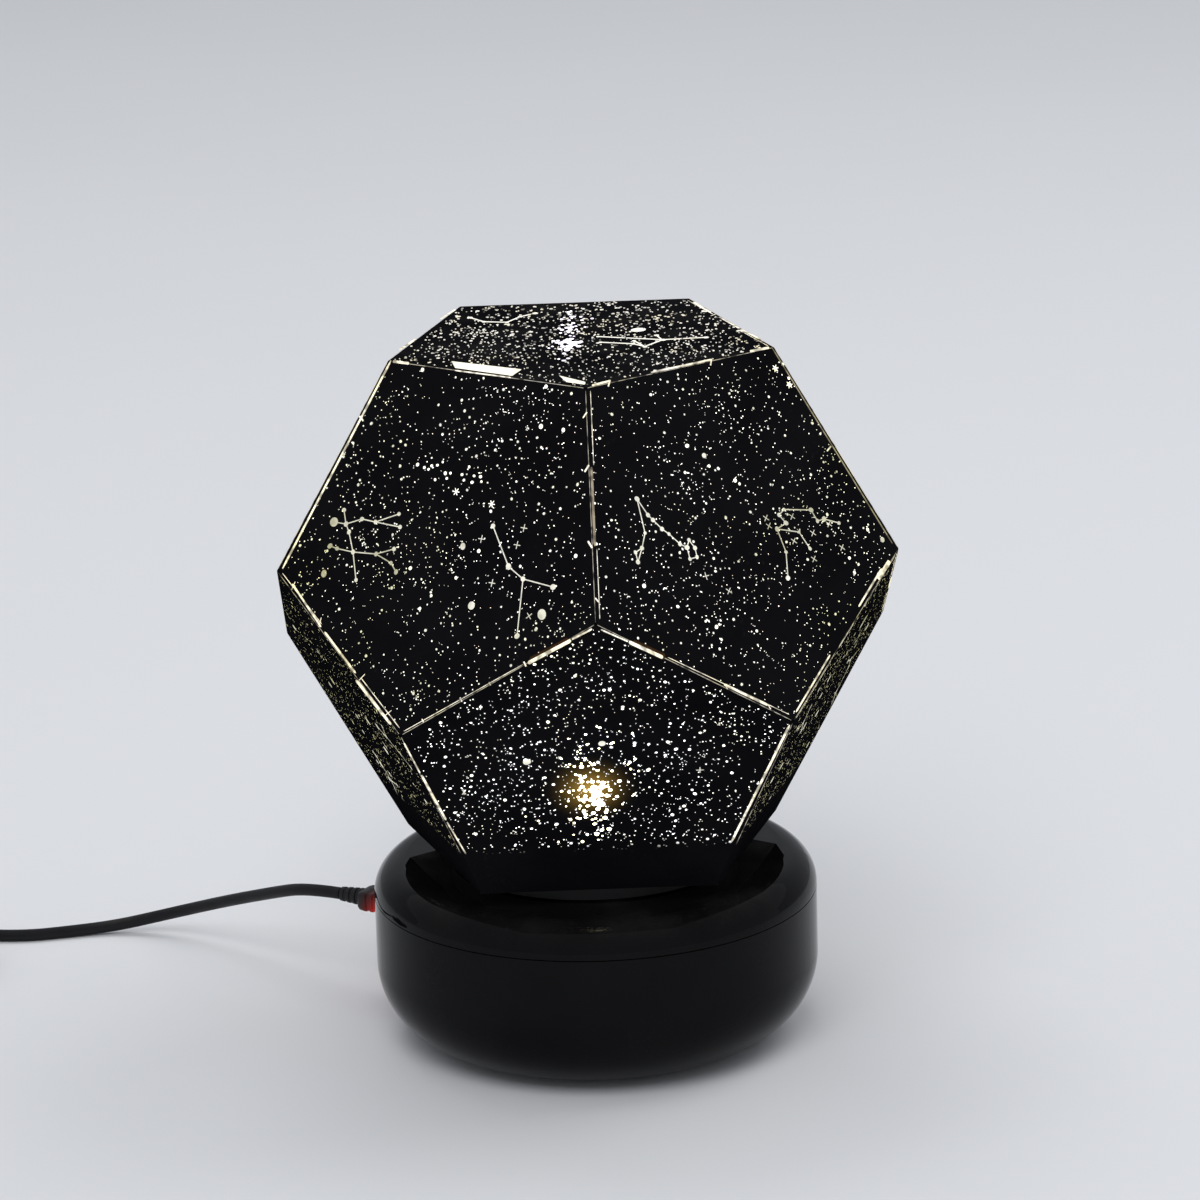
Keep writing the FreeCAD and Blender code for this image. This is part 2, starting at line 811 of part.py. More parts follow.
def ring_sector(inner, outer, low, high, from_angle, to_angle):
    """A flat piece of a ring between two angles."""
    angles = (from_angle, (from_angle + to_angle) / 2, to_angle)
    near = [at_angle(inner, angle, low) for angle in angles]
    far = [at_angle(outer, angle, low) for angle in angles]
    edges = [
        Part.LineSegment(near[0], far[0]),
        Part.Arc(far[0], far[1], far[2]),
        Part.LineSegment(far[2], near[2]),
        Part.Arc(near[2], near[1], near[0]),
    ]
    face = Part.Face(Part.Wire([edge.toShape() for edge in edges]))
    return face.extrude(Vector(0, 0, high - low))


def make_control_board():
    """The curved board along the wall, with its chips, socket, switches and charge light."""
    span = (board_from_angle, board_to_angle)
    board = ring_sector(board_inner_radius, board_outer_radius, board_bottom, board_top, *span)
    screws = []
    for place in board_screw_places():
        hole = cylinder(small_hole_radius, board_bottom - overrun, board_top + overrun, place)
        board = board.cut(hole)
        screws.append(small_screw(place, board_top, board_thickness))
    export("control_board", board)
    export("board_screws", *screws)
    chips = []
    for angle in chip_angles:
        chip_middle = Vector(chip_circle, 0, board_top + chip_height / 2)
        chips.append(facing(centred_block(chip_width, chip_length, chip_height, chip_middle), angle))
    export("controller_chips", *chips)
    front = wall_inside - socket_inset
    socket = block(
        Vector(front - socket_depth, -socket_width / 2, board_top),
        Vector(front, socket_width / 2, board_top + socket_height),
    )
    back = front - socket_depth + 2 * socket_skin
    cavity = block(
        Vector(back, -socket_width / 2 + socket_skin, board_top + socket_skin),
        Vector(front + overrun, socket_width / 2 - socket_skin, board_top + socket_height - socket_skin),
    )
    export("usb_socket", facing(socket.cut(cavity), port_angle))
    light_end = base_radius + charge_light_radius / 2
    light_start = Vector(light_end - charge_light_radius - charge_light_length, 0, light_height())
    barrel = Part.makeCylinder(charge_light_radius, charge_light_length, light_start, Vector(1, 0, 0))
    dome = Part.makeSphere(charge_light_radius, light_start + Vector(charge_light_length, 0, 0))
    flange_radius = charge_light_radius + charge_light_flange
    flange = Part.makeCylinder(flange_radius, charge_light_flange_length, light_start, Vector(1, 0, 0))
    export("charge_light", facing(barrel.fuse([dome, flange]).removeSplitter(), port_angle))
    switches = []
    for angle in (power_angle, rotation_angle):
        body = block(
            Vector(switch_front() - switch_depth, -switch_width / 2, board_top),
            Vector(switch_front(), switch_width / 2, board_top + switch_height),
        )
        bore_depth = stem_entry + button_travel + stem_stop_gap
        bore = Part.makeCylinder(
            stem_radius + stem_clearance,
            bore_depth + overrun,
            Vector(switch_front() - bore_depth, 0, button_height()),
            Vector(1, 0, 0),
        )
        switches.append(facing(body.cut(bore), angle))
    export("push_switches", *switches)


def flange_front():
    """The button's flange faces the wall's inside."""
    return wall_inside - button_inset


def switch_front():
    """The switch stands behind the button's flange, clear of it at full travel."""
    return flange_front() - button_flange_thickness - switch_gap


def make_button(name, angle):
    """One push button, and the stem of its switch behind it."""
    axis = Vector(1, 0, 0)
    height = button_height()
    length = base_radius + button_stand - flange_front()
    cap = Part.makeCylinder(button_radius, length, Vector(flange_front(), 0, height), axis)
    outer_rim = [edge for edge in cap.Edges if edge.BoundBox.XMin > flange_front() + length / 2]
    cap = cap.makeFillet(button_round, outer_rim)
    flange_start = Vector(flange_front() - button_flange_thickness, 0, height)
    flange = Part.makeCylinder(button_radius + button_flange, button_flange_thickness, flange_start, axis)
    export(f"{name}_button", facing(cap.fuse(flange).removeSplitter(), angle))
    stem_start = Vector(switch_front() - stem_entry, 0, height)
    stem = Part.makeCylinder(stem_radius, stem_entry + switch_gap, stem_start, axis)
    export(f"{name}_switch_stem", facing(stem, angle))


def battery_middle():
    """The cell lies across the front of the base, just above its floor."""
    return Vector(0, -battery_circle, inner_floor + battery_lift + battery_radius)


def make_battery():
    """The round cell in its trough, with a contact at each end."""
    middle = battery_middle()
    start = middle - Vector(battery_length / 2, 0, 0)
    axis = Vector(1, 0, 0)
    export("battery_cell", Part.makeCylinder(battery_radius, battery_length, start, axis))
    end_gap = battery_clearance + contact_thickness + battery_clearance
    inside = battery_length / 2 + end_gap
    outside = inside + holder_wall
    half_width = holder_half_width
    rim = middle.z - battery_radius + 2 * battery_radius * holder_share
    low_corner_width = half_width * holder_foot_share
    section = Part.Face(Part.makePolygon([
        Vector(-outside, middle.y - low_corner_width, inner_floor),
        Vector(-outside, middle.y + low_corner_width, inner_floor),
        Vector(-outside, middle.y + half_width, inner_floor + half_width - low_corner_width),
        Vector(-outside, middle.y + half_width, rim),
        Vector(-outside, middle.y - half_width, rim),
        Vector(-outside, middle.y - half_width, inner_floor + half_width - low_corner_width),
        Vector(-outside, middle.y - low_corner_width, inner_floor),
    ]))
    trough = section.extrude(Vector(2 * outside, 0, 0))
    groove_start = middle - Vector(inside, 0, 0)
    groove = Part.makeCylinder(battery_radius + battery_clearance, 2 * inside, groove_start, axis)
    room = bowl_core(inner_floor, edge_radius - base_wall, 2 * battery_clearance)
    export("battery_holder", trough.cut(groove).common(room))
    contacts = []
    for side in (-1, 1):
        reach = battery_length / 2 + battery_clearance + contact_thickness / 2
        plate_middle = middle + Vector(side * reach, 0, 0)
        contacts.append(centred_block(contact_thickness, contact_width, contact_width, plate_middle))
    export("battery_contacts", *contacts)


def motor_block(depth_margin, width_margin, low, high):
    """A block about the motor's axis, in its own direction."""
    half_depth = motor_depth / 2 + depth_margin
    half_width = motor_width / 2 + width_margin
    near = Vector(motor_circle - half_depth, -half_width, low)
    far = Vector(motor_circle + half_depth, half_width, high)
    return facing(block(near, far), motor_angle)


def make_motor():
    """The gear motor that stands in its bracket, and the pinion on its shaft."""
    axis_place = at_angle(motor_circle, motor_angle)
    can_top = gearbox_top - gearbox_length
    export("motor_can", motor_block(0.0, 0.0, can_bottom, can_top))
    gearbox = motor_block(0.0, 0.0, can_top, gearbox_top)
    shaft_low = gearbox_top - motor_shaft_entry
    bore = cylinder(motor_shaft_radius + running_clearance, shaft_low, gearbox_top + overrun, axis_place)
    export("motor_gearbox", gearbox.cut(bore))
    shaft_top = pinion_bottom + pinion_thickness + shaft_stub
    export("motor_shaft", cylinder(motor_shaft_radius, shaft_low, shaft_top, axis_place))
    gap_angle = motor_angle + 180 + 180 / pinion_teeth
    pinion_bore = motor_shaft_radius + seat_clearance
    pinion = spur_gear(pinion_teeth, pinion_thickness, pinion_bore, pinion_bottom, gap_angle)
    pinion.translate(axis_place)
    export("motor_pinion", pinion)
    outer = bracket_clearance + bracket_wall
    side = motor_width / 2 + outer
    rim = inner_floor + bracket_height
    ear_low = inner_floor + ear_boss_height
    seat = ear_low + ear_thickness
    bracket = motor_block(outer, outer, inner_floor, rim)
    ear_start = Vector(motor_circle - ear_boss_radius, -side - ear_length, ear_low)
    ear_end = Vector(motor_circle + ear_boss_radius, side + ear_length, seat)
    bracket = bracket.fuse(facing(block(ear_start, ear_end), motor_angle))
    bracket = bracket.cut(motor_block(bracket_clearance, bracket_clearance, can_bottom, rim + overrun))
    slot_start = Vector(motor_circle - bracket_slot / 2, 0, seat)
    slot_end = Vector(motor_circle + bracket_slot / 2, side + overrun, rim + overrun)
    bracket = bracket.cut(facing(block(slot_start, slot_end), motor_angle))
    for place in ear_screw_places():
        hole = cylinder(small_hole_radius, ear_low - overrun, seat + overrun, place)
        bracket = bracket.cut(hole)
    export("motor_bracket", bracket.removeSplitter())
    export("motor_screws", *[small_screw(place, seat, ear_thickness) for place in ear_screw_places()])


def rounded_path(points, bend=None):
    """Straight runs joined by tangent arcs of radius bend, or as large as fit. Returns the radii too."""
    edges = []
    radii = []
    here = points[0]
    for before, corner, after in zip(points, points[1:], points[2:]):
        way_in = Vector(corner - before)
        way_out = Vector(after - corner)
        half_turn = way_in.getAngle(way_out) / 2
        shorter = min(way_in.Length, way_out.Length)
        radius = bend if bend else arc_run_share * shorter / math.tan(half_turn)
        reach = radius * math.tan(half_turn)
        way_in.normalize()
        way_out.normalize()
        inward = (way_out - way_in).normalize()
        start = corner - way_in * reach
        end = corner + way_out * reach
        through = corner + inward * (radius / math.cos(half_turn) - radius)
        edges.append(Part.LineSegment(here, start).toShape())
        edges.append(Part.Arc(start, through, end).toShape())
        radii.append(radius)
        here = end
    edges.append(Part.LineSegment(here, points[-1]).toShape())
    return edges, radii


def tube(edges, radius):
    """A round tube along a path of tangent edges."""
    path = Part.Wire(edges)
    start = edges[0].valueAt(edges[0].FirstParameter)
    heading = edges[0].tangentAt(edges[0].FirstParameter)
    section = Part.Wire(Part.makeCircle(radius, start, heading))
    return path.makePipeShell([section], True, False)


def beside(points, offset):
    """The same route shifted sideways in plan, with its corners mitred."""
    normals = []
    for here, there in zip(points, points[1:]):
        level = Vector(there.x - here.x, there.y - here.y, 0)
        normals.append(Vector(-level.y, level.x, 0).normalize() if level.Length > lead_radius else None)
    level_normals = [normal for normal in normals if normal]
    shifted = []
    for k, point in enumerate(points):
        near = [normal for normal in normals[max(k - 1, 0):k + 1] if normal]
        if not near:
            near = level_normals[:1] if k == 0 else level_normals[-1:]
        if len(near) == 2:
            mitre = (near[0] + near[1]) * (1 / (1 + near[0].dot(near[1])))
        else:
            mitre = near[0]
        shifted.append(point + mitre * offset)
    return shifted


def lead_pair(points):
    """Two leads side by side along one route."""
    pair = []
    for side in (-1, 1):
        edges, radii = rounded_path(beside(points, side * lead_pitch / 2), lead_bend)
        pair.append(tube(edges, lead_radius))
    return pair


def make_leads():
    """The leads inside the base, each from its device to the underside of the board."""
    level = lead_level()
    lamp_route = [
        Vector(0, 0, lamp_board_bottom),
        Vector(0, 0, level),
        at_angle(lead_circle, lamp_lead_angle, level),
        at_angle(lead_circle, lamp_lead_angle, board_bottom),
    ]
    export("lamp_leads", *lead_pair(lamp_route))
    height = motor_lead_height
    turn_radius = gear_pitch_radius + gear_module + motor_lead_turn_gap
    motor_route = [
        facing_point(motor_circle, motor_width / 2, motor_angle) + Vector(0, 0, height),
        facing_point(motor_circle, motor_width / 2 + lead_out, motor_angle) + Vector(0, 0, height),
        at_angle(turn_radius, motor_lead_angles[0], height),
        at_angle(lead_circle, motor_lead_angles[1], height),
        at_angle(lead_circle, motor_lead_angles[1], board_bottom),
    ]
    export("motor_leads", *lead_pair(motor_route))
    contact = battery_length / 2 + battery_clearance + contact_thickness
    level = battery_middle().z + contact_width / 2 - lead_radius
    plus_route = [
        Vector(contact, -battery_circle, level),
        Vector(contact + battery_lead_out, -battery_circle, level),
        at_angle(lead_circle, plus_lead_angles[0], level),
        at_angle(lead_circle + lead_bow, plus_lead_angles[1], level),
        at_angle(lead_circle, plus_lead_angles[2], level),
        at_angle(lead_circle, plus_lead_angles[2], board_bottom),
    ]
    minus_route = [
        Vector(-contact, -battery_circle, level),
        Vector(-contact - battery_lead_out, -battery_circle, level),
        at_angle(lead_circle, minus_lead_angle, level),
        at_angle(lead_circle, minus_lead_angle, board_bottom),
    ]
    leads = []
    for route in (plus_route, minus_route):
        edges, radii = rounded_path(route, lead_bend)
        leads.append(tube(edges, lead_radius))
    export("battery_leads", *leads)


def rounded_block(low, high, corner_radius):
    """A box between two corners, with its edges along X rounded."""
    body = block(low, high)
    long_edges = [edge for edge in body.Edges if edge.BoundBox.XLength > corner_radius]
    return body.makeFillet(corner_radius, long_edges)


def make_lamp_plug():
    """The plug in the lamp's socket, with its tapered relief and its metal tip."""
    body = rounded_block(
        Vector(plug_face, -plug_width / 2, port_height - plug_height / 2),
        Vector(plug_face + plug_length, plug_width / 2, port_height + plug_height / 2),
        plug_round,
    )
    relief_start = Vector(plug_face + plug_length - overrun, 0, port_height)
    relief_span = plug_relief_length + overrun
    axis = Vector(1, 0, 0)
    relief = Part.makeCone(plug_relief_radius, plug_relief_end_radius, relief_span, relief_start, axis)
    body = body.fuse(relief).removeSplitter()
    export("micro_usb_plug", facing(body, port_angle))
    tip = block(
        Vector(plug_face - tip_entry, -tip_width / 2, port_height - tip_height / 2),
        Vector(plug_face, tip_width / 2, port_height + tip_height / 2),
    )
    export("micro_usb_tip", facing(tip, port_angle))


def report_tube(name, solid, length):
    """Prints how far a tube's volume is from its section times its length."""
    expected = math.pi * cord_radius**2 * length
    print(f"{name}: {length:.1f} mm long, {solid.Volume:.1f} mm3, section times length {expected:.1f} mm3")


def make_cord_run():
    """The cord from the plug to the start of its coil, lying on the table past its first drop."""
    points = [at_angle(plug_end, port_angle, port_height)]
    points.append(at_angle(plug_end + cord_first_run, port_angle, port_height))
    points += [Vector(*point) for point in cord_route]
    edges, radii = rounded_path(points)
    length = sum(edge.Length for edge in edges)
    run = tube(edges, cord_radius)
    export("cord_run", run)
    print("cord run's arc radii:", [round(radius, 1) for radius in radii])
    report_tube("cord run", run, length)
    return length


def biarc(start, start_way, end, end_way):
    """Two tangent arcs from one point and direction to another."""
    across = end - start
    both = start_way + end_way
    opening = 1 - start_way.dot(end_way)
    if opening > nearly_parallel:
        inside = across.dot(both) ** 2 + 2 * opening * across.dot(across)
        reach = (math.sqrt(inside) - across.dot(both)) / (2 * opening)
    else:
        reach = across.dot(across) / (4 * across.dot(start_way))
    first_corner = start + start_way * reach
    second_corner = end - end_way * reach
    joint = (first_corner + second_corner) * 0.5
    arcs = []
    for low, corner, high in ((start, first_corner, joint), (joint, second_corner, end)):
        chord_middle = (low + high) * 0.5
        half_chord = (high - low).Length / 2
        lean = Vector(corner - low).getAngle(high - low)
        outward = Vector(corner - chord_middle).normalize()
        through = chord_middle + outward * (half_chord * math.tan(lean / 2))
        arcs.append(Part.Arc(low, through, high).toShape())
    return arcs


def coil_places():
    """The coil's points and directions each quarter turn: in below, a climb, and out above."""
    middle = Vector(cord_route[-1][0] - 2 * cord_radius, cord_route[-1][1] - coil_outer_radius, cord_radius)
    quarters = 4 * coil_turns
    halfway = quarters / 2
    inner_radius = coil_outer_radius - coil_pitch * halfway / 4
    places = []
    for k in range(quarters + 1):
        angle = math.radians(90 + 90 * k)
        radius = inner_radius + coil_pitch * abs(k - halfway) / 4
        climbed = min(max((k - halfway + 1) / 2, 0), 1)
        point = middle + Vector(radius * math.cos(angle), radius * math.sin(angle), coil_pitch * climbed)
        if k == halfway:
            outward_rate = 0.0
            climb_rate = climb_steepness * coil_pitch / math.pi
        else:
            outward_rate = math.copysign(coil_pitch / (2 * math.pi), k - halfway)
            climb_rate = 0.0
        if k in (0, quarters):
            outward_rate = 0.0
        way = Vector(
            outward_rate * math.cos(angle) - radius * math.sin(angle),
            outward_rate * math.sin(angle) + radius * math.cos(angle),
            climb_rate,
        )
        places.append((point, way.normalize()))
    return places


def least_gap(edges):
    """The least gap between stretches of the coil that aren't next to each other."""
    points = []
    travelled = 0.0
    for edge in edges:
        count = max(2, int(edge.Length / gap_sample))
        for k in range(count):
            share = k / count
            at = edge.FirstParameter + (edge.LastParameter - edge.FirstParameter) * share
            points.append((edge.valueAt(at), travelled + edge.Length * share))
        travelled += edge.Length
    apart = neighbour_diameters * 2 * cord_radius
    least = travelled
    for k, (here, along) in enumerate(points):
        for there, further in points[k + 1:]:
            if further - along > apart:
                least = min(least, (there - here).Length)
    return least - 2 * cord_radius


def make_cord_coil():
    """The put-away length, wound flat in two layers, with its end led down to the far plug."""
    places = coil_places()
    straight = 2 * cord_radius
    entry = Vector(*cord_route[-1])
    edges = [Part.LineSegment(entry, places[0][0]).toShape()]
    for (start, start_way), (end, end_way) in zip(places, places[1:]):
        edges += biarc(start, start_way, end, end_way)
    away = places[-1][1]
    top = places[-1][0]
    drop_start = top + away * coil_exit_run
    drop_end = top + away * (coil_exit_run + coil_drop_run)
    drop_end.z = far_plug_height / 2
    finish = drop_end + away * straight
    edges.append(Part.LineSegment(top, drop_start).toShape())
    edges += biarc(drop_start, away, drop_end, away)
    edges.append(Part.LineSegment(drop_end, finish).toShape())
    length = sum(edge.Length for edge in edges)
    coil = tube(edges, cord_radius)
    export("cord_coil", coil)
    report_tube("cord coil", coil, length)
    print("coil's least gap to itself:", round(least_gap(edges), 3))
    return length, finish


def make_far_plug(finish):
    """The far plug, with its hollow metal tip, pointing away from the coil."""
    height = far_plug_height / 2
    relief_span = far_relief_length + overrun
    axis = Vector(1, 0, 0)
    relief = Part.makeCone(far_relief_end_radius, far_relief_radius, relief_span, Vector(0, 0, height), axis)
    body = rounded_block(
        Vector(far_relief_length, -far_plug_width / 2, 0.0),
        Vector(far_relief_length + far_plug_length, far_plug_width / 2, far_plug_height),
        far_plug_round,
    )
    body = body.fuse(relief).removeSplitter()
    start = far_relief_length + far_plug_length
    half_width = far_tip_width / 2
    half_height = far_tip_height / 2
    tip = block(
        Vector(start, -half_width, height - half_height),
        Vector(start + far_tip_length, half_width, height + half_height),
    )
    inner_width = half_width - far_tip_skin
    inner_height = half_height - far_tip_skin
    cavity = block(
        Vector(start + far_tip_skin, -inner_width, height - inner_height),
        Vector(start + far_tip_length + overrun, inner_width, height + inner_height),
    )
    tip = tip.cut(cavity)
    for side in (-1, 1):
        across = side * far_tip_window_offset
        window_middle = Vector(start + far_tip_window_inset, across, height + half_height)
        window = centred_block(far_tip_window, far_tip_window, 2 * far_tip_skin + overrun, window_middle)
        tip = tip.cut(window)
    place = Vector(finish.x, finish.y, 0)
    for name, shape in (("usb_a_plug", body), ("usb_a_tip", tip)):
        laid = facing(shape, 180)
        laid.translate(place)
        export(name, laid)


def main():
    """Makes every node."""
    os.makedirs("parts", exist_ok=True)
    make_lantern()
    make_upper_shell()
    make_lower_shell()
    make_base_hardware()
    make_turntable()
    make_lamp_post()
    make_lamp()
    make_control_board()
    make_button("power", power_angle)
    make_button("rotation", rotation_angle)
    make_battery()
    make_motor()
    make_leads()
    make_lamp_plug()
    run_length = make_cord_run()
    coil_length, finish = make_cord_coil()
    make_far_plug(finish)
    print("whole cord:", round(run_length + coil_length, 1))
    print("base top:", round(base_top, 2), "lantern bottom:", round(lantern_bottom, 2))
    print("lantern middle:", round(lantern_middle, 2))
    print("lantern top:", round(lantern_middle + lantern_reach, 2))


main()
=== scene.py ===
"""The star lantern on its round base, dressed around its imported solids.

Lengths are in metres, and in millimetres where a name ends in _mm.
Each piece keeps its place in its mesh and rides on the body that carries it.
"""

import json
import logging
import math
import random
from dataclasses import dataclass, field
from enum import Enum
from functools import cache

import bpy
from mathutils import Matrix, Vector


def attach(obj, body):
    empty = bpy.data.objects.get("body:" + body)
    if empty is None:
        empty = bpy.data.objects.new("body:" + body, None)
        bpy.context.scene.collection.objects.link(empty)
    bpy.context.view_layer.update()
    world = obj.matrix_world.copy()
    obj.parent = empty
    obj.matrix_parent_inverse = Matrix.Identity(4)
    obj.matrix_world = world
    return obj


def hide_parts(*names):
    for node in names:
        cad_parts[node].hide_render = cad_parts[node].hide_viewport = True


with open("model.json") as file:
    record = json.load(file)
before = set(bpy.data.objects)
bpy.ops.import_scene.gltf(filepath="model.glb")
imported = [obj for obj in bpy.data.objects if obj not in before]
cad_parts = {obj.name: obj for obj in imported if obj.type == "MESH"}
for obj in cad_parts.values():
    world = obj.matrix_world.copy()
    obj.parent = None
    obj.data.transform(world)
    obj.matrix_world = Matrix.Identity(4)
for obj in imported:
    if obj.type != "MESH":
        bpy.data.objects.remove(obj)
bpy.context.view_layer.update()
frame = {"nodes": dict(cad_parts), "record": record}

log = logging.getLogger("lantern")

MM = 0.001
SIDES = 5
LAMP_SPOT_FACES = (1, 3, 4)
GOLDEN = (1 + math.sqrt(5)) / 2
Colour = tuple[float, float, float]
Pixel = tuple[float, float]
DARK: Colour = (0.0, 0.0, 0.0)


class Body(Enum):
    """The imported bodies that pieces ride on."""

    BASE = "base"
    LANTERN = "lantern"
    POWER_KEY = "power_key"
    ROTATION_KEY = "rotation_key"


def mm(x: float, y: float, z: float) -> Vector:
    """A point given in millimetres, in metres."""
    return Vector((x, y, z)) * MM


# ---------------------------------------------------------------- shader groups


class Wiring:
    """Adds and links the nodes of one tree."""

    def __init__(self, tree: bpy.types.NodeTree) -> None:
        """Keeps the tree.

        Args:
            tree: The node tree to add to.
        """
        self.tree = tree

    def add(self, kind: str, **values: object) -> bpy.types.Node:
        """Adds a node and sets its properties.

        Args:
            kind: The node's type name.
            values: Properties of the node by name.

        Returns:
            The new node.
        """
        node = self.tree.nodes.new(kind)
        for name, value in values.items():
            setattr(node, name, value)
        return node

    def link(self, source: object, target: object) -> None:
        """Links two sockets, or sets the target to a plain value.

        Args:
            source: A socket, or a number or colour.
            target: The socket that takes it.
        """
        if isinstance(source, bpy.types.NodeSocket):
            self.tree.links.new(source, target)
        else:
            target.default_value = source

    def fill(self, node: bpy.types.Node, values: dict[str, object]) -> None:
        """Sets or links some of a node's inputs.

        Args:
            node: The node.
            values: What each input takes, by the input's name.
        """
        for name, value in values.items():
            self.link(value, node.inputs[name])

    def maths(self, operation: str, *terms: object, clamp: bool = False) -> bpy.types.NodeSocket:
        """One step of arithmetic.

        Args:
            operation: The Math node's operation.
            terms: Sockets or numbers.
            clamp: Whether the result stays from 0 to 1.

        Returns:
            The result's socket.
        """
        node = self.add("ShaderNodeMath", operation=operation, use_clamp=clamp)
        for term, socket in zip(terms, node.inputs):
            self.link(term, socket)
        return node.outputs[0]

    def ramp(
        self, value: object, low: object, high: object, to_low: object = 0.0, to_high: object = 1.0,
    ) -> bpy.types.NodeSocket:
        """A smooth step of a value between two levels.

        Args:
            value: The value's socket.
            low: Where the step starts.
            high: Where the step ends.
            to_low: What it gives before the start.
            to_high: What it gives past the end.

        Returns:
            The result's socket.
        """
        node = self.add("ShaderNodeMapRange", interpolation_type="SMOOTHSTEP")
        self.fill(node, {
            "Value": value, "From Min": low, "From Max": high, "To Min": to_low, "To Max": to_high,
        })
        return node.outputs["Result"]

    def mix(self, share: object, first: object, second: object) -> bpy.types.NodeSocket:
        """Two colours mixed.

        Args:
            share: How much of the second.
            first: The first colour.
            second: The second colour.

        Returns:
            The mixed colour's socket.
        """
        node = self.add("ShaderNodeMix", data_type="RGBA")
        self.link(share, node.inputs["Factor"])
        for value, name in ((first, "A"), (second, "B")):
            socket = [s for s in node.inputs if s.name == name and s.type == "RGBA"][0]
            self.link(value if isinstance(value, bpy.types.NodeSocket) else (*value, 1.0), socket)
        return [s for s in node.outputs if s.type == "RGBA"][0]

    def noise(
        self, place: object, scale: object, detail: float = 3.0, roughness: float = 0.55,
    ) -> bpy.types.NodeSocket:
        """A noise pattern.

        Args:
            place: The coordinates' socket.
            scale: How many bumps to the metre.
            detail: How many finer layers.
            roughness: How strong the finer layers are.

        Returns:
            The pattern's value, about 0.5.
        """
        node = self.add("ShaderNodeTexNoise")
        self.fill(node, {"Vector": place, "Scale": scale, "Detail": detail, "Roughness": roughness})
        return node.outputs["Fac"]


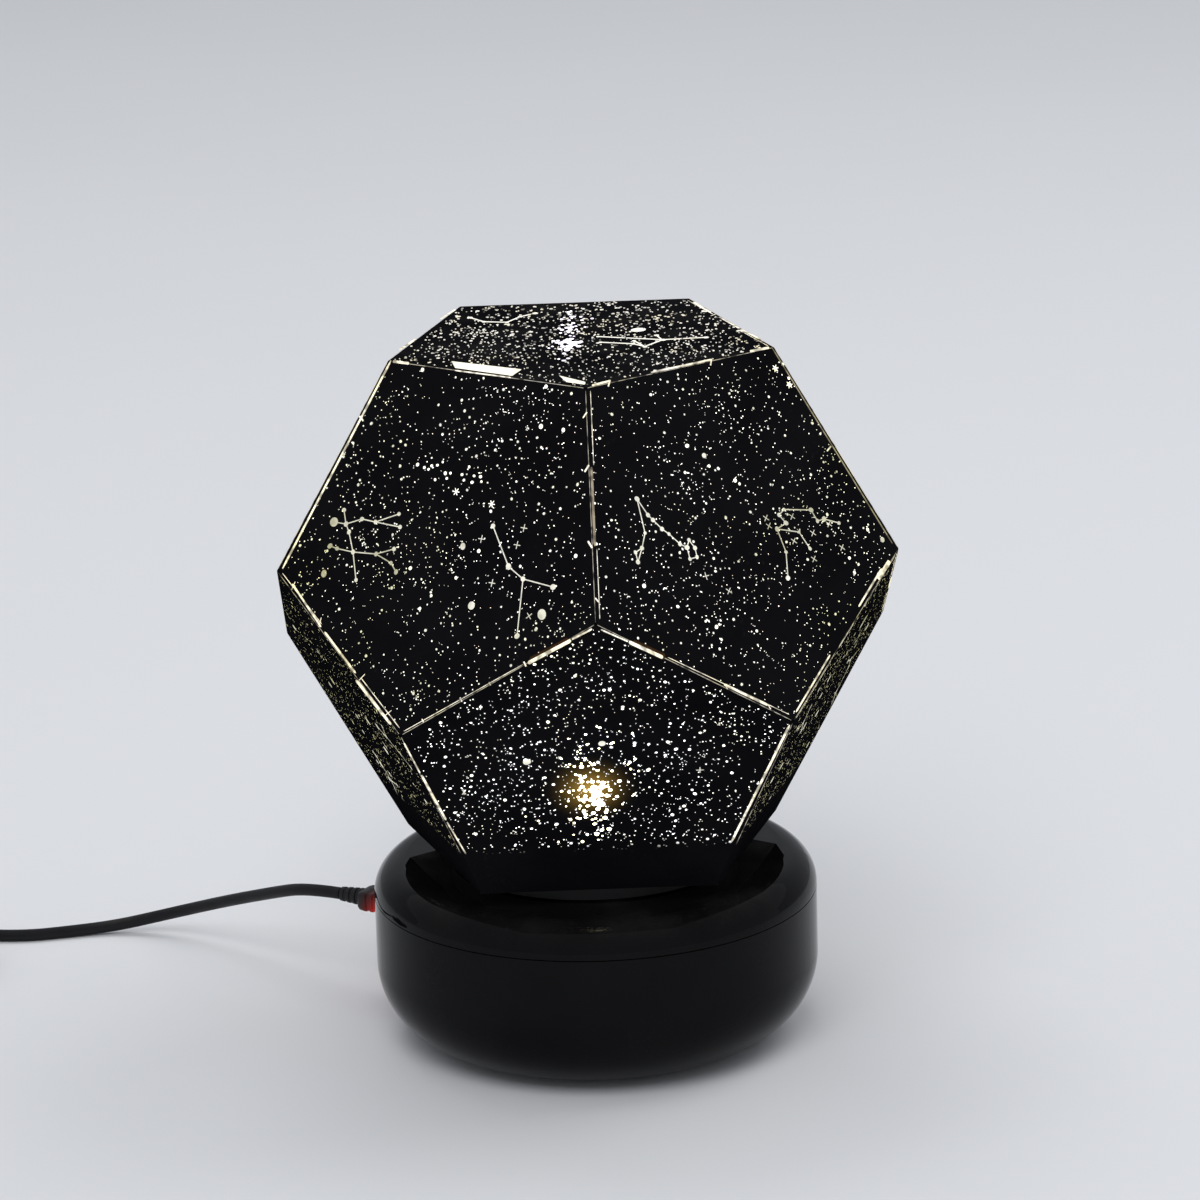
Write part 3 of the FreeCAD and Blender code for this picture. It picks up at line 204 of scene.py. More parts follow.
@dataclass(frozen=True)
class SharedEffects:
    """The effects that several finishes use, each a node group that is built once.

    Scales are bumps to the metre, and reaches are metres to the side of the lantern's axis.
    """

    cloud_scale: float = 60.0
    speck_scale: float = 2600.0
    handled_scale: float = 45.0
    patch_scale: float = 70.0
    flicker_scale: float = 420.0
    middle_reach: float = 0.02
    side_reach: float = 0.085
    painted_halo_fade: float = 3.0

    def start(self, name: str, takes: dict[str, str], gives: dict[str, str]) -> tuple[Wiring, dict, dict]:
        """Starts a group with named sockets.

        Args:
            name: The group's name.
            takes: Names and kinds of its inputs.
            gives: Names and kinds of its outputs.

        Returns:
            The wiring, the inputs by name and the outputs by name.
        """
        tree = bpy.data.node_groups.new(name, "ShaderNodeTree")
        for entries, way in ((takes, "INPUT"), (gives, "OUTPUT")):
            for label, kind in entries.items():
                tree.interface.new_socket(name=label, in_out=way, socket_type=f"NodeSocket{kind}")
        wiring = Wiring(tree)
        inside = wiring.add("NodeGroupInput")
        outside = wiring.add("NodeGroupOutput")
        return wiring, {s.name: s for s in inside.outputs}, {s.name: s for s in outside.inputs}

    @cache
    def grain(self) -> bpy.types.NodeTree:
        """Moulded grain: a broad mottle as Mask and a fine tooth as Height.

        Returns:
            The node group.
        """
        w, takes, gives = self.start(
            "moulded_grain",
            {"Place": "Vector", "Fine": "Float", "Broad": "Float"},
            {"Mask": "Float", "Height": "Float"},
        )
        broad = w.noise(takes["Place"], takes["Broad"], 4.0)
        fine = w.noise(takes["Place"], takes["Fine"], 2.0, 0.6)
        w.link(w.ramp(broad, 0.3, 0.7), gives["Mask"])
        w.link(fine, gives["Height"])
        return w.tree

    @cache
    def dust(self) -> bpy.types.NodeTree:
        """Dust and lint that settles on what faces up.

        Returns:
            The node group.
        """
        w, takes, gives = self.start(
            "settled_dust", {"Place": "Vector", "Facing": "Vector", "Amount": "Float"}, {"Mask": "Float"},
        )
        split = w.add("ShaderNodeSeparateXYZ")
        w.link(takes["Facing"], split.inputs[0])
        upward = w.ramp(split.outputs["Z"], 0.35, 0.98)
        cloud = w.ramp(w.noise(takes["Place"], self.cloud_scale, 5.0), 0.42, 0.72)
        specks = w.ramp(w.noise(takes["Place"], self.speck_scale, 1.0), 0.70, 0.76)
        both = w.maths("ADD", w.maths("MULTIPLY", cloud, 0.35), specks, clamp=True)
        w.link(w.maths("MULTIPLY", w.maths("MULTIPLY", both, upward), takes["Amount"]), gives["Mask"])
        return w.tree

    @cache
    def rub(self) -> bpy.types.NodeTree:
        """Fine rub marks in one direction, as on handled film and metal.

        Returns:
            The node group.
        """
        w, takes, gives = self.start("rub_marks", {"Place": "Vector", "Scale": "Float"}, {"Mask": "Float"})
        stretch = w.add("ShaderNodeMapping")
        w.fill(stretch, {"Vector": takes["Place"], "Rotation": (0.3, 0.5, 0.7), "Scale": (1.0, 0.06, 1.0)})
        lines = w.noise(stretch.outputs["Vector"], takes["Scale"], 2.0)
        patches = w.ramp(w.noise(takes["Place"], self.handled_scale, 2.0), 0.5, 0.68)
        w.link(w.maths("MULTIPLY", w.ramp(lines, 0.62, 0.7), patches), gives["Mask"])
        return w.tree

    @cache
    def lamp_reach(self) -> bpy.types.NodeTree:
        """How the lamp's light reaches a window: none below the lamp's board, yellower to the sides.

        Returns:
            The node group.
        """
        w, takes, gives = self.start(
            "lamp_reach",
            {
                "Place": "Vector", "Near Colour": "Color", "Far Colour": "Color",
                "Low": "Float", "High": "Float", "Dimmest": "Float",
            },
            {"Colour": "Color"},
        )
        split = w.add("ShaderNodeSeparateXYZ")
        w.link(takes["Place"], split.inputs[0])
        sideways = w.ramp(w.maths("ABSOLUTE", split.outputs["X"]), self.middle_reach, self.side_reach)
        patch = w.noise(takes["Place"], self.patch_scale, 2.0)
        share = w.maths("MULTIPLY", w.maths("ADD", sideways, w.ramp(patch, 0.45, 0.65)), 0.5)
        tint = w.mix(share, takes["Near Colour"], takes["Far Colour"])
        flicker = w.noise(takes["Place"], self.flicker_scale, 1.0)
        level = w.ramp(flicker, 0.32, 0.6, takes["Dimmest"], 1.0)
        height = w.ramp(split.outputs["Z"], takes["Low"], takes["High"])
        w.link(w.mix(w.maths("MULTIPLY", height, level), DARK, tint), gives["Colour"])
        return w.tree

    @cache
    def halo(self) -> bpy.types.NodeTree:
        """A painted glow: soft round emission about one place, stronger at its middle, standing in for light
        cast there.

        Returns:
            The node group.
        """
        w, takes, gives = self.start(
            "soft_halo",
            {"Place": "Vector", "Middle": "Vector", "Reach": "Float", "Tint": "Color"},
            {"Colour": "Color"},
        )
        apart = w.add("ShaderNodeVectorMath", operation="DISTANCE")
        w.link(takes["Place"], apart.inputs[0])
        w.link(takes["Middle"], apart.inputs[1])
        share = w.maths("DIVIDE", apart.outputs["Value"], takes["Reach"])
        near = w.maths("SUBTRACT", 1.0, share, clamp=True)
        soft = w.maths("POWER", near, self.painted_halo_fade)
        w.link(w.mix(soft, DARK, takes["Tint"]), gives["Colour"])
        return w.tree


effects = SharedEffects()


# ---------------------------------------------------------------- finishes

RUB_GREY: Colour = (0.22, 0.22, 0.23)
RUB_ROUGHER = 0.3
RUB_PALER = 0.25
DUST_GREY: Colour = (0.30, 0.29, 0.27)
DUST_ROUGHER = 0.4


@dataclass(frozen=True)
class Finish:
    """A finish of the lantern or its lead, with its grain, dust and rub marks.

    Grain scales are bumps to the metre, and depths are in metres.
    """

    name: str
    colour: Colour
    second: Colour
    roughness: tuple[float, float]
    fine: float = 2400.0
    broad: float = 90.0
    depth: float = 0.00002
    metallic: float = 0.0
    specular: float = 0.5
    coat: float = 0.0
    dust: float = 0.0
    rubbed: float = 0.0
    clear: float = 0.0

    @cache
    def material(self) -> bpy.types.Material:
        """Builds the material, once for each finish.

        Returns:
            The material.
        """
        material = bpy.data.materials.new(f"{self.name}_finish")
        material.use_nodes = True
        w = Wiring(material.node_tree)
        shader = material.node_tree.nodes["Principled BSDF"]
        place = w.add("ShaderNodeTexCoord")
        grain = self.placed(w, effects.grain(), place, {"Fine": self.fine, "Broad": self.broad})
        colour = w.mix(grain.outputs["Mask"], self.colour, self.second)
        level = w.ramp(grain.outputs["Mask"], 0.0, 1.0, *self.roughness)
        if self.rubbed:
            rub = self.placed(w, effects.rub(), place, {"Scale": self.fine})
            marks = w.maths("MULTIPLY", rub.outputs["Mask"], self.rubbed)
            level = w.maths("ADD", level, w.maths("MULTIPLY", marks, RUB_ROUGHER), clamp=True)
            colour = w.mix(w.maths("MULTIPLY", marks, RUB_PALER), colour, RUB_GREY)
        if self.dust:
            settled = {"Facing": place.outputs["Normal"], "Amount": self.dust}
            dust = self.placed(w, effects.dust(), place, settled).outputs["Mask"]
            level = w.maths("ADD", level, w.maths("MULTIPLY", dust, DUST_ROUGHER), clamp=True)
            colour = w.mix(dust, colour, DUST_GREY)
        bump = w.add("ShaderNodeBump")
        w.fill(bump, {"Strength": 1.0, "Distance": self.depth, "Height": grain.outputs["Height"]})
        w.fill(shader, {
            "Base Color": colour,
            "Roughness": level,
            "Normal": bump.outputs["Normal"],
            "Metallic": self.metallic,
            "Specular IOR Level": self.specular,
            "Coat Weight": self.coat,
            "Transmission Weight": self.clear,
        })
        self.extra(w, shader, place)
        return material

    def extra(self, w: Wiring, shader: bpy.types.Node, place: bpy.types.Node) -> None:
        """What a finish adds of its own, which is nothing here.

        Args:
            w: The material's wiring.
            shader: The material's shader.
            place: The coordinates' node.
        """

    def placed(
        self, w: Wiring, tree: bpy.types.NodeTree, place: bpy.types.Node, values: dict[str, object],
    ) -> bpy.types.Node:
        """Puts a shared effect in the material.

        Args:
            w: The material's wiring.
            tree: The effect's node group.
            place: The coordinates' node.
            values: What its other inputs take, by name.

        Returns:
            The effect's node.
        """
        node = w.add("ShaderNodeGroup", node_tree=tree)
        w.fill(node, {"Place": place.outputs["Object"], **values})
        return node


@dataclass(frozen=True)
class LitFinish(Finish):
    """A finish that the lamp lights from behind, or that is lit itself."""

    near: Colour = (1.0, 0.95, 0.80)
    far: Colour = (1.0, 0.94, 0.62)
    strength: float = 1.0
    low: float = 0.0700
    high: float = 0.0735
    dimmest: float = 0.5

    def extra(self, w: Wiring, shader: bpy.types.Node, place: bpy.types.Node) -> None:
        """Adds the light.

        Args:
            w: The material's wiring.
            shader: The material's shader.
            place: The coordinates' node.
        """
        reach = self.placed(w, effects.lamp_reach(), place, {
            "Near Colour": (*self.near, 1.0),
            "Far Colour": (*self.far, 1.0),
            "Low": self.low,
            "High": self.high,
            "Dimmest": self.dimmest,
        })
        w.fill(shader, {"Emission Color": reach.outputs["Colour"], "Emission Strength": self.strength})


@dataclass(frozen=True)
class PaintedGlowFinish(Finish):
    """A finish with a painted glow about one place: emission that stands in for light cast on it from nearby.
    """

    middle: tuple[float, float, float] = (0.0, 0.0, 0.0)
    reach: float = 0.01
    tint: Colour = (1.0, 0.62, 0.16)
    strength: float = 1.0

    def extra(self, w: Wiring, shader: bpy.types.Node, place: bpy.types.Node) -> None:
        """Adds the painted glow.

        Args:
            w: The material's wiring.
            shader: The material's shader.
            place: The coordinates' node.
        """
        halo = self.placed(w, effects.halo(), place, {
            "Middle": self.middle, "Reach": self.reach, "Tint": (*self.tint, 1.0),
        })
        w.fill(shader, {"Emission Color": halo.outputs["Colour"], "Emission Strength": self.strength})


STAR_FILM = {
    "colour": (0.004, 0.004, 0.005), "second": (0.006, 0.006, 0.007), "roughness": (0.12, 0.20),
    "specular": 0.0, "fine": 900.0, "broad": 38.0, "depth": 0.000008, "dust": 0.05, "rubbed": 0.08,
}
PLUG_PLASTIC = {
    "colour": (0.007, 0.007, 0.008), "second": (0.011, 0.011, 0.012), "roughness": (0.38, 0.52),
    "specular": 0.25, "fine": 4200.0, "broad": 160.0, "depth": 0.00004, "rubbed": 0.25,
}
WINDOW = {
    "colour": (0.004, 0.004, 0.004), "second": (0.006, 0.006, 0.006), "roughness": (0.3, 0.4),
    "specular": 0.0, "depth": 0.000004,
}

cord_sleeve = Finish(
    "cord_sleeve", (0.006, 0.006, 0.007), (0.010, 0.010, 0.011), (0.42, 0.56),
    fine=3200.0, broad=120.0, depth=0.00003, specular=0.2, dust=0.15,
)
plug_plastic = Finish("plug_plastic", **PLUG_PLASTIC, dust=0.15)
# Painted light: red emission on the plug's plastic about the charge light's place, standing in for the red
# light that the charge LED throws on the plug's underside.
glowing_plug = PaintedGlowFinish(
    "glowing_plug", **PLUG_PLASTIC,
    middle=(-0.0580, 0.0310, 0.0235), reach=0.0125, tint=(1.0, 0.03, 0.01), strength=1.6,
)
tongue_white = Finish("tongue_white", (0.72, 0.72, 0.70), (0.80, 0.80, 0.78), (0.35, 0.5), depth=0.00001)
tie_fabric = Finish(
    "tie_fabric", (0.010, 0.010, 0.011), (0.022, 0.022, 0.024), (0.8, 0.95),
    fine=4200.0, broad=900.0, depth=0.00012, specular=0.1,
)
printed_sign = Finish("printed_sign", (0.34, 0.34, 0.35), (0.42, 0.42, 0.43), (0.5, 0.65), depth=0.000004)
contact_gold = Finish(
    "contact_gold", (0.83, 0.62, 0.26), (0.90, 0.70, 0.34), (0.2, 0.3), metallic=1.0, depth=0.000004,
)

PACKED_FINISHES: tuple[Finish, ...] = (
    cord_sleeve,
    plug_plastic,
    Finish("star_film", **STAR_FILM),
    Finish(
        "base_gloss", (0.0030, 0.0030, 0.0034), (0.0045, 0.0045, 0.005), (0.006, 0.02),
        fine=1300.0, broad=30.0, depth=0.0000001, specular=0.07, dust=0.05, rubbed=0.06,
    ),
    Finish(
        "plated_metal", (0.66, 0.67, 0.68), (0.78, 0.78, 0.79), (0.18, 0.32),
        fine=2600.0, broad=140.0, depth=0.00001, metallic=1.0, rubbed=0.6,
    ),
    Finish("tab_film", (0.012, 0.012, 0.013), (0.02, 0.02, 0.02), (0.35, 0.5), specular=0.2),
    Finish("floor_card", (0.008, 0.008, 0.009), (0.014, 0.014, 0.014), (0.3, 0.45), specular=0.2, rubbed=0.2),
    Finish("foot_rubber", (0.022, 0.022, 0.022), (0.035, 0.034, 0.033), (0.8, 0.92), depth=0.00006),
    Finish("screw_steel", (0.48, 0.48, 0.49), (0.60, 0.60, 0.60), (0.25, 0.42), metallic=1.0, rubbed=0.7),
    Finish(
        "drum_plastic", (0.010, 0.010, 0.011), (0.016, 0.016, 0.017), (0.42, 0.55),
        fine=5200.0, depth=0.00004, specular=0.3, dust=0.3,
    ),
    Finish(
        "bearing_plastic", (0.74, 0.74, 0.70), (0.82, 0.82, 0.78), (0.35, 0.48), fine=1800.0, depth=0.00001,
    ),
    Finish(
        "circuit_board", (0.010, 0.11, 0.045), (0.018, 0.17, 0.07), (0.3, 0.45),
        fine=700.0, broad=420.0, coat=0.3,
    ),
    Finish(
        "lamp_board_white", (0.74, 0.75, 0.75), (0.82, 0.82, 0.81), (0.35, 0.5), broad=300.0, depth=0.000008,
    ),
    Finish("chip_black", (0.016, 0.016, 0.017), (0.026, 0.026, 0.027), (0.55, 0.7), fine=6000.0),
    Finish(
        "button_black", (0.014, 0.014, 0.015), (0.022, 0.022, 0.023), (0.34, 0.46),
        fine=5200.0, depth=0.00003, specular=0.35, rubbed=0.4,
    ),
    Finish("cell_sleeve", (0.03, 0.10, 0.30), (0.045, 0.13, 0.36), (0.28, 0.42), fine=500.0, rubbed=0.3),
    Finish(
        "motor_steel", (0.52, 0.52, 0.52), (0.62, 0.62, 0.61), (0.28, 0.44),
        metallic=1.0, fine=1600.0, rubbed=0.8,
    ),
    Finish(
        "gearbox_brass", (0.62, 0.46, 0.20), (0.72, 0.55, 0.27), (0.26, 0.42),
        metallic=1.0, fine=1600.0, rubbed=0.6,
    ),
    Finish("lead_sleeve", (0.30, 0.012, 0.010), (0.40, 0.02, 0.016), (0.4, 0.5), fine=1500.0),
    LitFinish(
        "led_yellow", (0.85, 0.62, 0.12), (0.95, 0.74, 0.2), (0.4, 0.5), low=0.0, high=0.001, strength=6.0,
    ),
    Finish("clear_dome", (0.97, 0.97, 0.95), (0.99, 0.99, 0.98), (0.03, 0.08), clear=1.0, depth=0.000002),
    LitFinish(
        "charge_red", (0.45, 0.01, 0.008), (0.6, 0.02, 0.012), (0.3, 0.4),
        near=(1.0, 0.03, 0.012), far=(1.0, 0.05, 0.02), low=0.0, high=0.001, strength=9.0,
    ),
)


def windows(name: str, near: Colour, far: Colour, strength: float, dimmest: float = 0.5) -> LitFinish:
    """A finish of windows that the lamp lights.

    Args:
        name: Its name.
        near: The light's colour in the middle.
        far: The light's colour to the sides.
        strength: How strong the light is.
        dimmest: The share of it that the dimmest window has.

    Returns:
        The finish.
    """
    return LitFinish(name, **WINDOW, near=near, far=far, strength=strength, dimmest=dimmest)


fine_windows = windows("fine_star_windows", (1.0, 0.98, 0.90), (0.58, 0.57, 0.32), 2.7)
front_windows = windows("front_star_windows", (0.97, 0.97, 1.0), (0.74, 0.73, 0.46), 2.8)
side_windows = windows("side_star_windows", (1.0, 0.94, 0.62), (0.74, 0.71, 0.33), 1.0, 0.35)
round_windows = windows("round_star_windows", (1.0, 0.98, 0.90), (0.60, 0.59, 0.33), 1.5, 0.6)
top_windows = windows("top_star_windows", (1.0, 0.97, 0.88), (0.90, 0.80, 0.52), 1.15, 0.12)
figure_windows = windows("figure_windows", (1.0, 0.98, 0.86), (0.46, 0.44, 0.24), 1.0, 0.8)
top_figure_windows = windows("top_figure_windows", (1.0, 0.98, 0.88), (0.95, 0.90, 0.72), 1.3, 0.9)
bright_windows = windows("bright_star_windows", (1.0, 0.97, 0.86), (1.0, 0.94, 0.62), 2.0, 0.8)
lamp_windows = windows("bright_lamp_windows", (1.0, 0.93, 0.62), (1.0, 0.90, 0.55), 9.0)
spark_windows = windows("spark_windows", (1.0, 0.86, 0.45), (1.0, 0.82, 0.38), 2.2)
streak_windows = windows("streak_windows", (0.92, 0.86, 1.0), (0.95, 0.85, 1.0), 3.0)
slit_light = windows("slit_light", (1.0, 0.93, 0.80), (1.0, 0.90, 0.55), 0.55, 0.10)
seam_windows = windows("seam_light", (1.0, 0.94, 0.80), (1.0, 0.90, 0.58), 1.35, 0.35)
dim_seam_windows = windows("dim_seam_light", (1.0, 0.84, 0.62), (0.85, 0.78, 0.42), 0.42, 0.35)
glow_windows = windows("seam_glow", (1.0, 0.42, 0.10), (1.0, 0.42, 0.10), 0.04, 0.8)
leak_windows = windows("opening_light", (1.0, 0.97, 0.84), (1.0, 0.93, 0.70), 1.3, 0.9)


# ---------------------------------------------------------------- work at the bench


def deselect_all() -> None:
    """Closes any open mesh and leaves nothing selected."""
    if bpy.context.object and bpy.context.object.mode != "OBJECT":
        bpy.ops.object.mode_set(mode="OBJECT")
    bpy.ops.object.select_all(action="DESELECT")


def take(piece: bpy.types.Object) -> None:
    """Selects one piece alone and makes it active.

    Args:
        piece: The piece.
    """
    deselect_all()
    piece.select_set(True)
    bpy.context.view_layer.objects.active = piece


def settle(piece: bpy.types.Object) -> None:
    """Puts a piece's place, turn and scale into its mesh.

    Args:
        piece: The piece.
    """
    take(piece)
    bpy.ops.object.transform_apply(location=True, rotation=True, scale=True)


def dress(piece: bpy.types.Object, name: str, body: Body, finish: Finish) -> bpy.types.Object:
    """Names a finished piece, gives it its finish and rides it on its body.

    Args:
        piece: The piece.
        name: Its name.
        body: The body that carries it.
        finish: Its finish.

    Returns:
        The piece.
    """
    piece.name = name
    piece.data.name = name
    piece.data.materials.clear()
    piece.data.materials.append(finish.material())
    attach(piece, body.value)
    log.info("%s rides on %s", name, body.value)
    return piece


def linked(name: str, data: bpy.types.ID) -> bpy.types.Object:
    """Puts a new object in the scene.

    Args:
        name: Its name.
        data: Its mesh, curve, light or lens.

    Returns:
        The object.
    """
    piece = bpy.data.objects.new(name, data)
    bpy.context.collection.objects.link(piece)
    return piece


def meshed(name: str, points: list[Vector], polygons: list[tuple[int, ...]]) -> bpy.types.Object:
    """A new piece of given corners and faces.

    Args:
        name: Its name.
        points: Its corners.
        polygons: The corners of each face, by their place in points.

    Returns:
        The piece.
    """
    mesh = bpy.data.meshes.new(name)
    mesh.from_pydata(points, [], polygons)
    mesh.update()
    return linked(name, mesh)


def copied(template: bpy.types.Object, name: str, places: list[Matrix]) -> bpy.types.Object:
    """One piece of many copies of a shape that was modelled once.

    Args:
        template: The shape.
        name: The new piece's name.
        places: Where each copy goes, and its turn and scale.

    Returns:
        The new piece.
    """
    corners = [vertex.co.copy() for vertex in template.data.vertices]
    faces = [tuple(face.vertices) for face in template.data.polygons]
    points: list[Vector] = []
    polygons: list[tuple[int, ...]] = []
    for place in places:
        shift = len(points)
        points += [place @ corner for corner in corners]
        polygons += [tuple(shift + index for index in face) for face in faces]
    return meshed(name, points, polygons)


def printed(
    template: bpy.types.Object, name: str, places: list[Matrix], finish: Finish,
    body: Body = Body.LANTERN,
) -> None:
    """Makes a piece of many copies of a shape and dresses it.

    Args:
        template: The shape.
        name: The new piece's name.
        places: Where each copy goes, and its turn and scale.
        finish: Its finish.
        body: The body that carries it.
    """
    dress(copied(template, name, places), name, body, finish)


def framed(along: Vector, aside: Vector, outward_way: Vector, origin: Vector) -> Matrix:
    """The place with those axes and that origin."""
    columns = (along, aside, outward_way, origin)
    return Matrix([[column[row] for column in columns] for row in range(3)] + [[0, 0, 0, 1]])


def outward(piece: bpy.types.Object) -> None:
    """Turns every face of a closed piece outward.

    Args:
        piece: The piece.
    """
    take(piece)
    bpy.ops.object.mode_set(mode="EDIT")
    bpy.ops.mesh.select_all(action="SELECT")
    bpy.ops.mesh.normals_make_consistent(inside=False)
    bpy.ops.object.mode_set(mode="OBJECT")


def open_plate(
    name: str, start_mm: float, high_mm: float, wide_mm: float, round_mm: float, steps: int,
) -> bpy.types.Object:
    """Makes an upright plate across X with rounded corners, and leaves its mesh open.

    Args:
        name: The new piece's name.
        start_mm: Where it stands along X.
        high_mm: Its height.
        wide_mm: Its width.
        round_mm: Its corners' radius.
        steps: The steps of each corner.

    Returns:
        The piece, with all of its mesh selected.
    """
    deselect_all()
    bpy.ops.mesh.primitive_plane_add(
        size=1.0, location=mm(start_mm, 0, 0), rotation=(0, math.pi / 2, 0),
    )
    piece = bpy.context.object
    piece.name = name
    piece.scale = (high_mm * MM, wide_mm * MM, 1.0)
    settle(piece)
    bpy.ops.object.mode_set(mode="EDIT")
    bpy.ops.mesh.select_all(action="SELECT")
    bpy.ops.mesh.bevel(offset=round_mm * MM, segments=steps, affect="VERTICES")
    bpy.ops.mesh.select_all(action="SELECT")
    return piece


def close_smooth(angle: float) -> None:
    """Turns the open mesh's faces outward, closes it and smooths what bends less than an angle.

    Args:
        angle: The angle in degrees.
    """
    bpy.ops.mesh.select_all(action="SELECT")
    bpy.ops.mesh.normals_make_consistent(inside=False)
    bpy.ops.object.mode_set(mode="OBJECT")
    bpy.ops.object.shade_smooth_by_angle(angle=math.radians(angle))


def even(*steps: tuple[float, float]) -> tuple[tuple[float, float, float], ...]:
    """Stages of a drawn form whose width and height have the same share."""
    return tuple((advance, share, share) for advance, share in steps)


@dataclass(frozen=True)
class DrawnForm:
    """A moulded form drawn out along X from a rounded outline, stage by stage.

    Each stage is how far it advances, in millimetres, and the shares of the outline's width and height there.
    """

    start_mm: float
    width_mm: float
    height_mm: float
    round_mm: float
    stages: tuple[tuple[float, float, float], ...]
    round_steps: int = 5
    smooth_below: float = 38.0

    def build(self, name: str) -> bpy.types.Object:
        """Draws the form out.

        Args:
            name: The new piece's name.

        Returns:
            The piece, lying along X about Z zero.
        """
        piece = open_plate(
            name, self.start_mm, self.height_mm, self.width_mm, self.round_mm, self.round_steps,
        )
        place = self.start_mm
        wide, high = 1.0, 1.0
        for advance, width, height in self.stages:
            place += advance
            if advance:
                bpy.ops.mesh.extrude_region_move(TRANSFORM_OT_translate={"value": mm(advance, 0, 0)})
            shares = (1.0, width / wide, height / high)
            bpy.ops.transform.resize(value=shares, center_override=mm(place, 0, 0))
            wide, high = width, height
        close_smooth(self.smooth_below)
        return piece


def round_lantern(number: int) -> Matrix:
    """The turn about the lantern's axis from its first lower face to another."""
    return Matrix.Rotation(2 * math.pi * (number - 1) / SIDES, 4, "Z")


def carry(piece: bpy.types.Object, turn: float, place: Vector) -> None:
    """Turns a piece about Z and moves it, in its mesh.

    Args:
        piece: The piece.
        turn: The turn about Z, in degrees.
        place: How far it moves, in metres.
    """
    piece.matrix_world = Matrix.Translation(place) @ Matrix.Rotation(math.radians(turn), 4, "Z")
    settle(piece)


# ---------------------------------------------------------------- the lantern's faces


class Face:
    """One flat face, with its own directions across and up it."""

    def __init__(self, name: str, corners: list[Vector]) -> None:
        """Works out the face's middle and directions.

        Args:
            name: The face's name.
            corners: Its corners in order, in metres.
        """
        self.name = name
        self.corners = corners
        self.middle = sum(corners, Vector()) / len(corners)
        centre = mm(0, 0, LanternShape.middle_mm)
        normal = (corners[1] - corners[0]).cross(corners[2] - corners[0]).normalized()
        self.normal = normal if normal.dot(self.middle - centre) > 0 else -normal
        level = Vector((0, 0, 1)).cross(self.normal)
        self.across = level.normalized() if level.length > 0.01 else Vector((1, 0, 0))
        self.upward = self.normal.cross(self.across)

    def at(self, across: float, upward: float) -> Vector:
        """The point that far across and up from the face's middle, in metres."""
        return self.middle + self.across * across + self.upward * upward

    def way(self, turn: float) -> Vector:
        """The direction on the face at that turn from across it, in radians."""
        return self.across * math.cos(turn) + self.upward * math.sin(turn)

    def inward(self, start: Vector, end: Vector) -> Vector:
        """The direction into the face from the line through two of its points."""
        inward = self.normal.cross(end - start).normalized()
        return -inward if inward.dot(self.middle - start) < 0 else inward

    def clearance(self, point: Vector) -> float:
        """How far a point lies inside the face's nearest edge.

        Args:
            point: The point, on the face.

        Returns:
            The distance in metres, below zero outside.
        """
        nearest = math.inf
        for start, end in zip(self.corners, self.corners[1:] + self.corners[:1]):
            nearest = min(nearest, self.inward(start, end).dot(point - start))
        return nearest

    def seat(self, point: Vector, along: Vector, length: float, width: float, rise: float) -> Matrix:
        """The place of a shape that lies on the face.

        Args:
            point: Its middle.
            along: The direction of its length.
            length: What one unit of its length becomes.
            width: What one unit of its width becomes.
            rise: Its height, of which a third is sunk.

        Returns:
            The place, turn and scale.
        """
        ahead = (along - self.normal * along.dot(self.normal)).normalized()
        aside = self.normal.cross(ahead)
        return framed(ahead * length, aside * width, self.normal * rise, point + self.normal * rise / 6)

    def bar(
        self, start: Vector, end: Vector, width: float, rise: float, stretch: float = 1.0, more: float = 0.0,
    ) -> Matrix:
        """The place of a bar that lies on the face from one point to another.

        Args:
            start: Where it starts.
            end: Where it ends.
            width: Its width.
            rise: Its height, of which a third is sunk.
            stretch: Its length as a share of the way between the points.
            more: What is added to its length.

        Returns:
            The place, turn and scale.
        """
        length = (end - start).length * stretch + more
        return self.seat((start + end) / 2, end - start, length, width, rise)


@dataclass(frozen=True)
class Seam:
    """One seam of the lantern, with the two faces that meet there."""

    name: str
    start: Vector
    end: Vector
    faces: tuple[Face, Face]


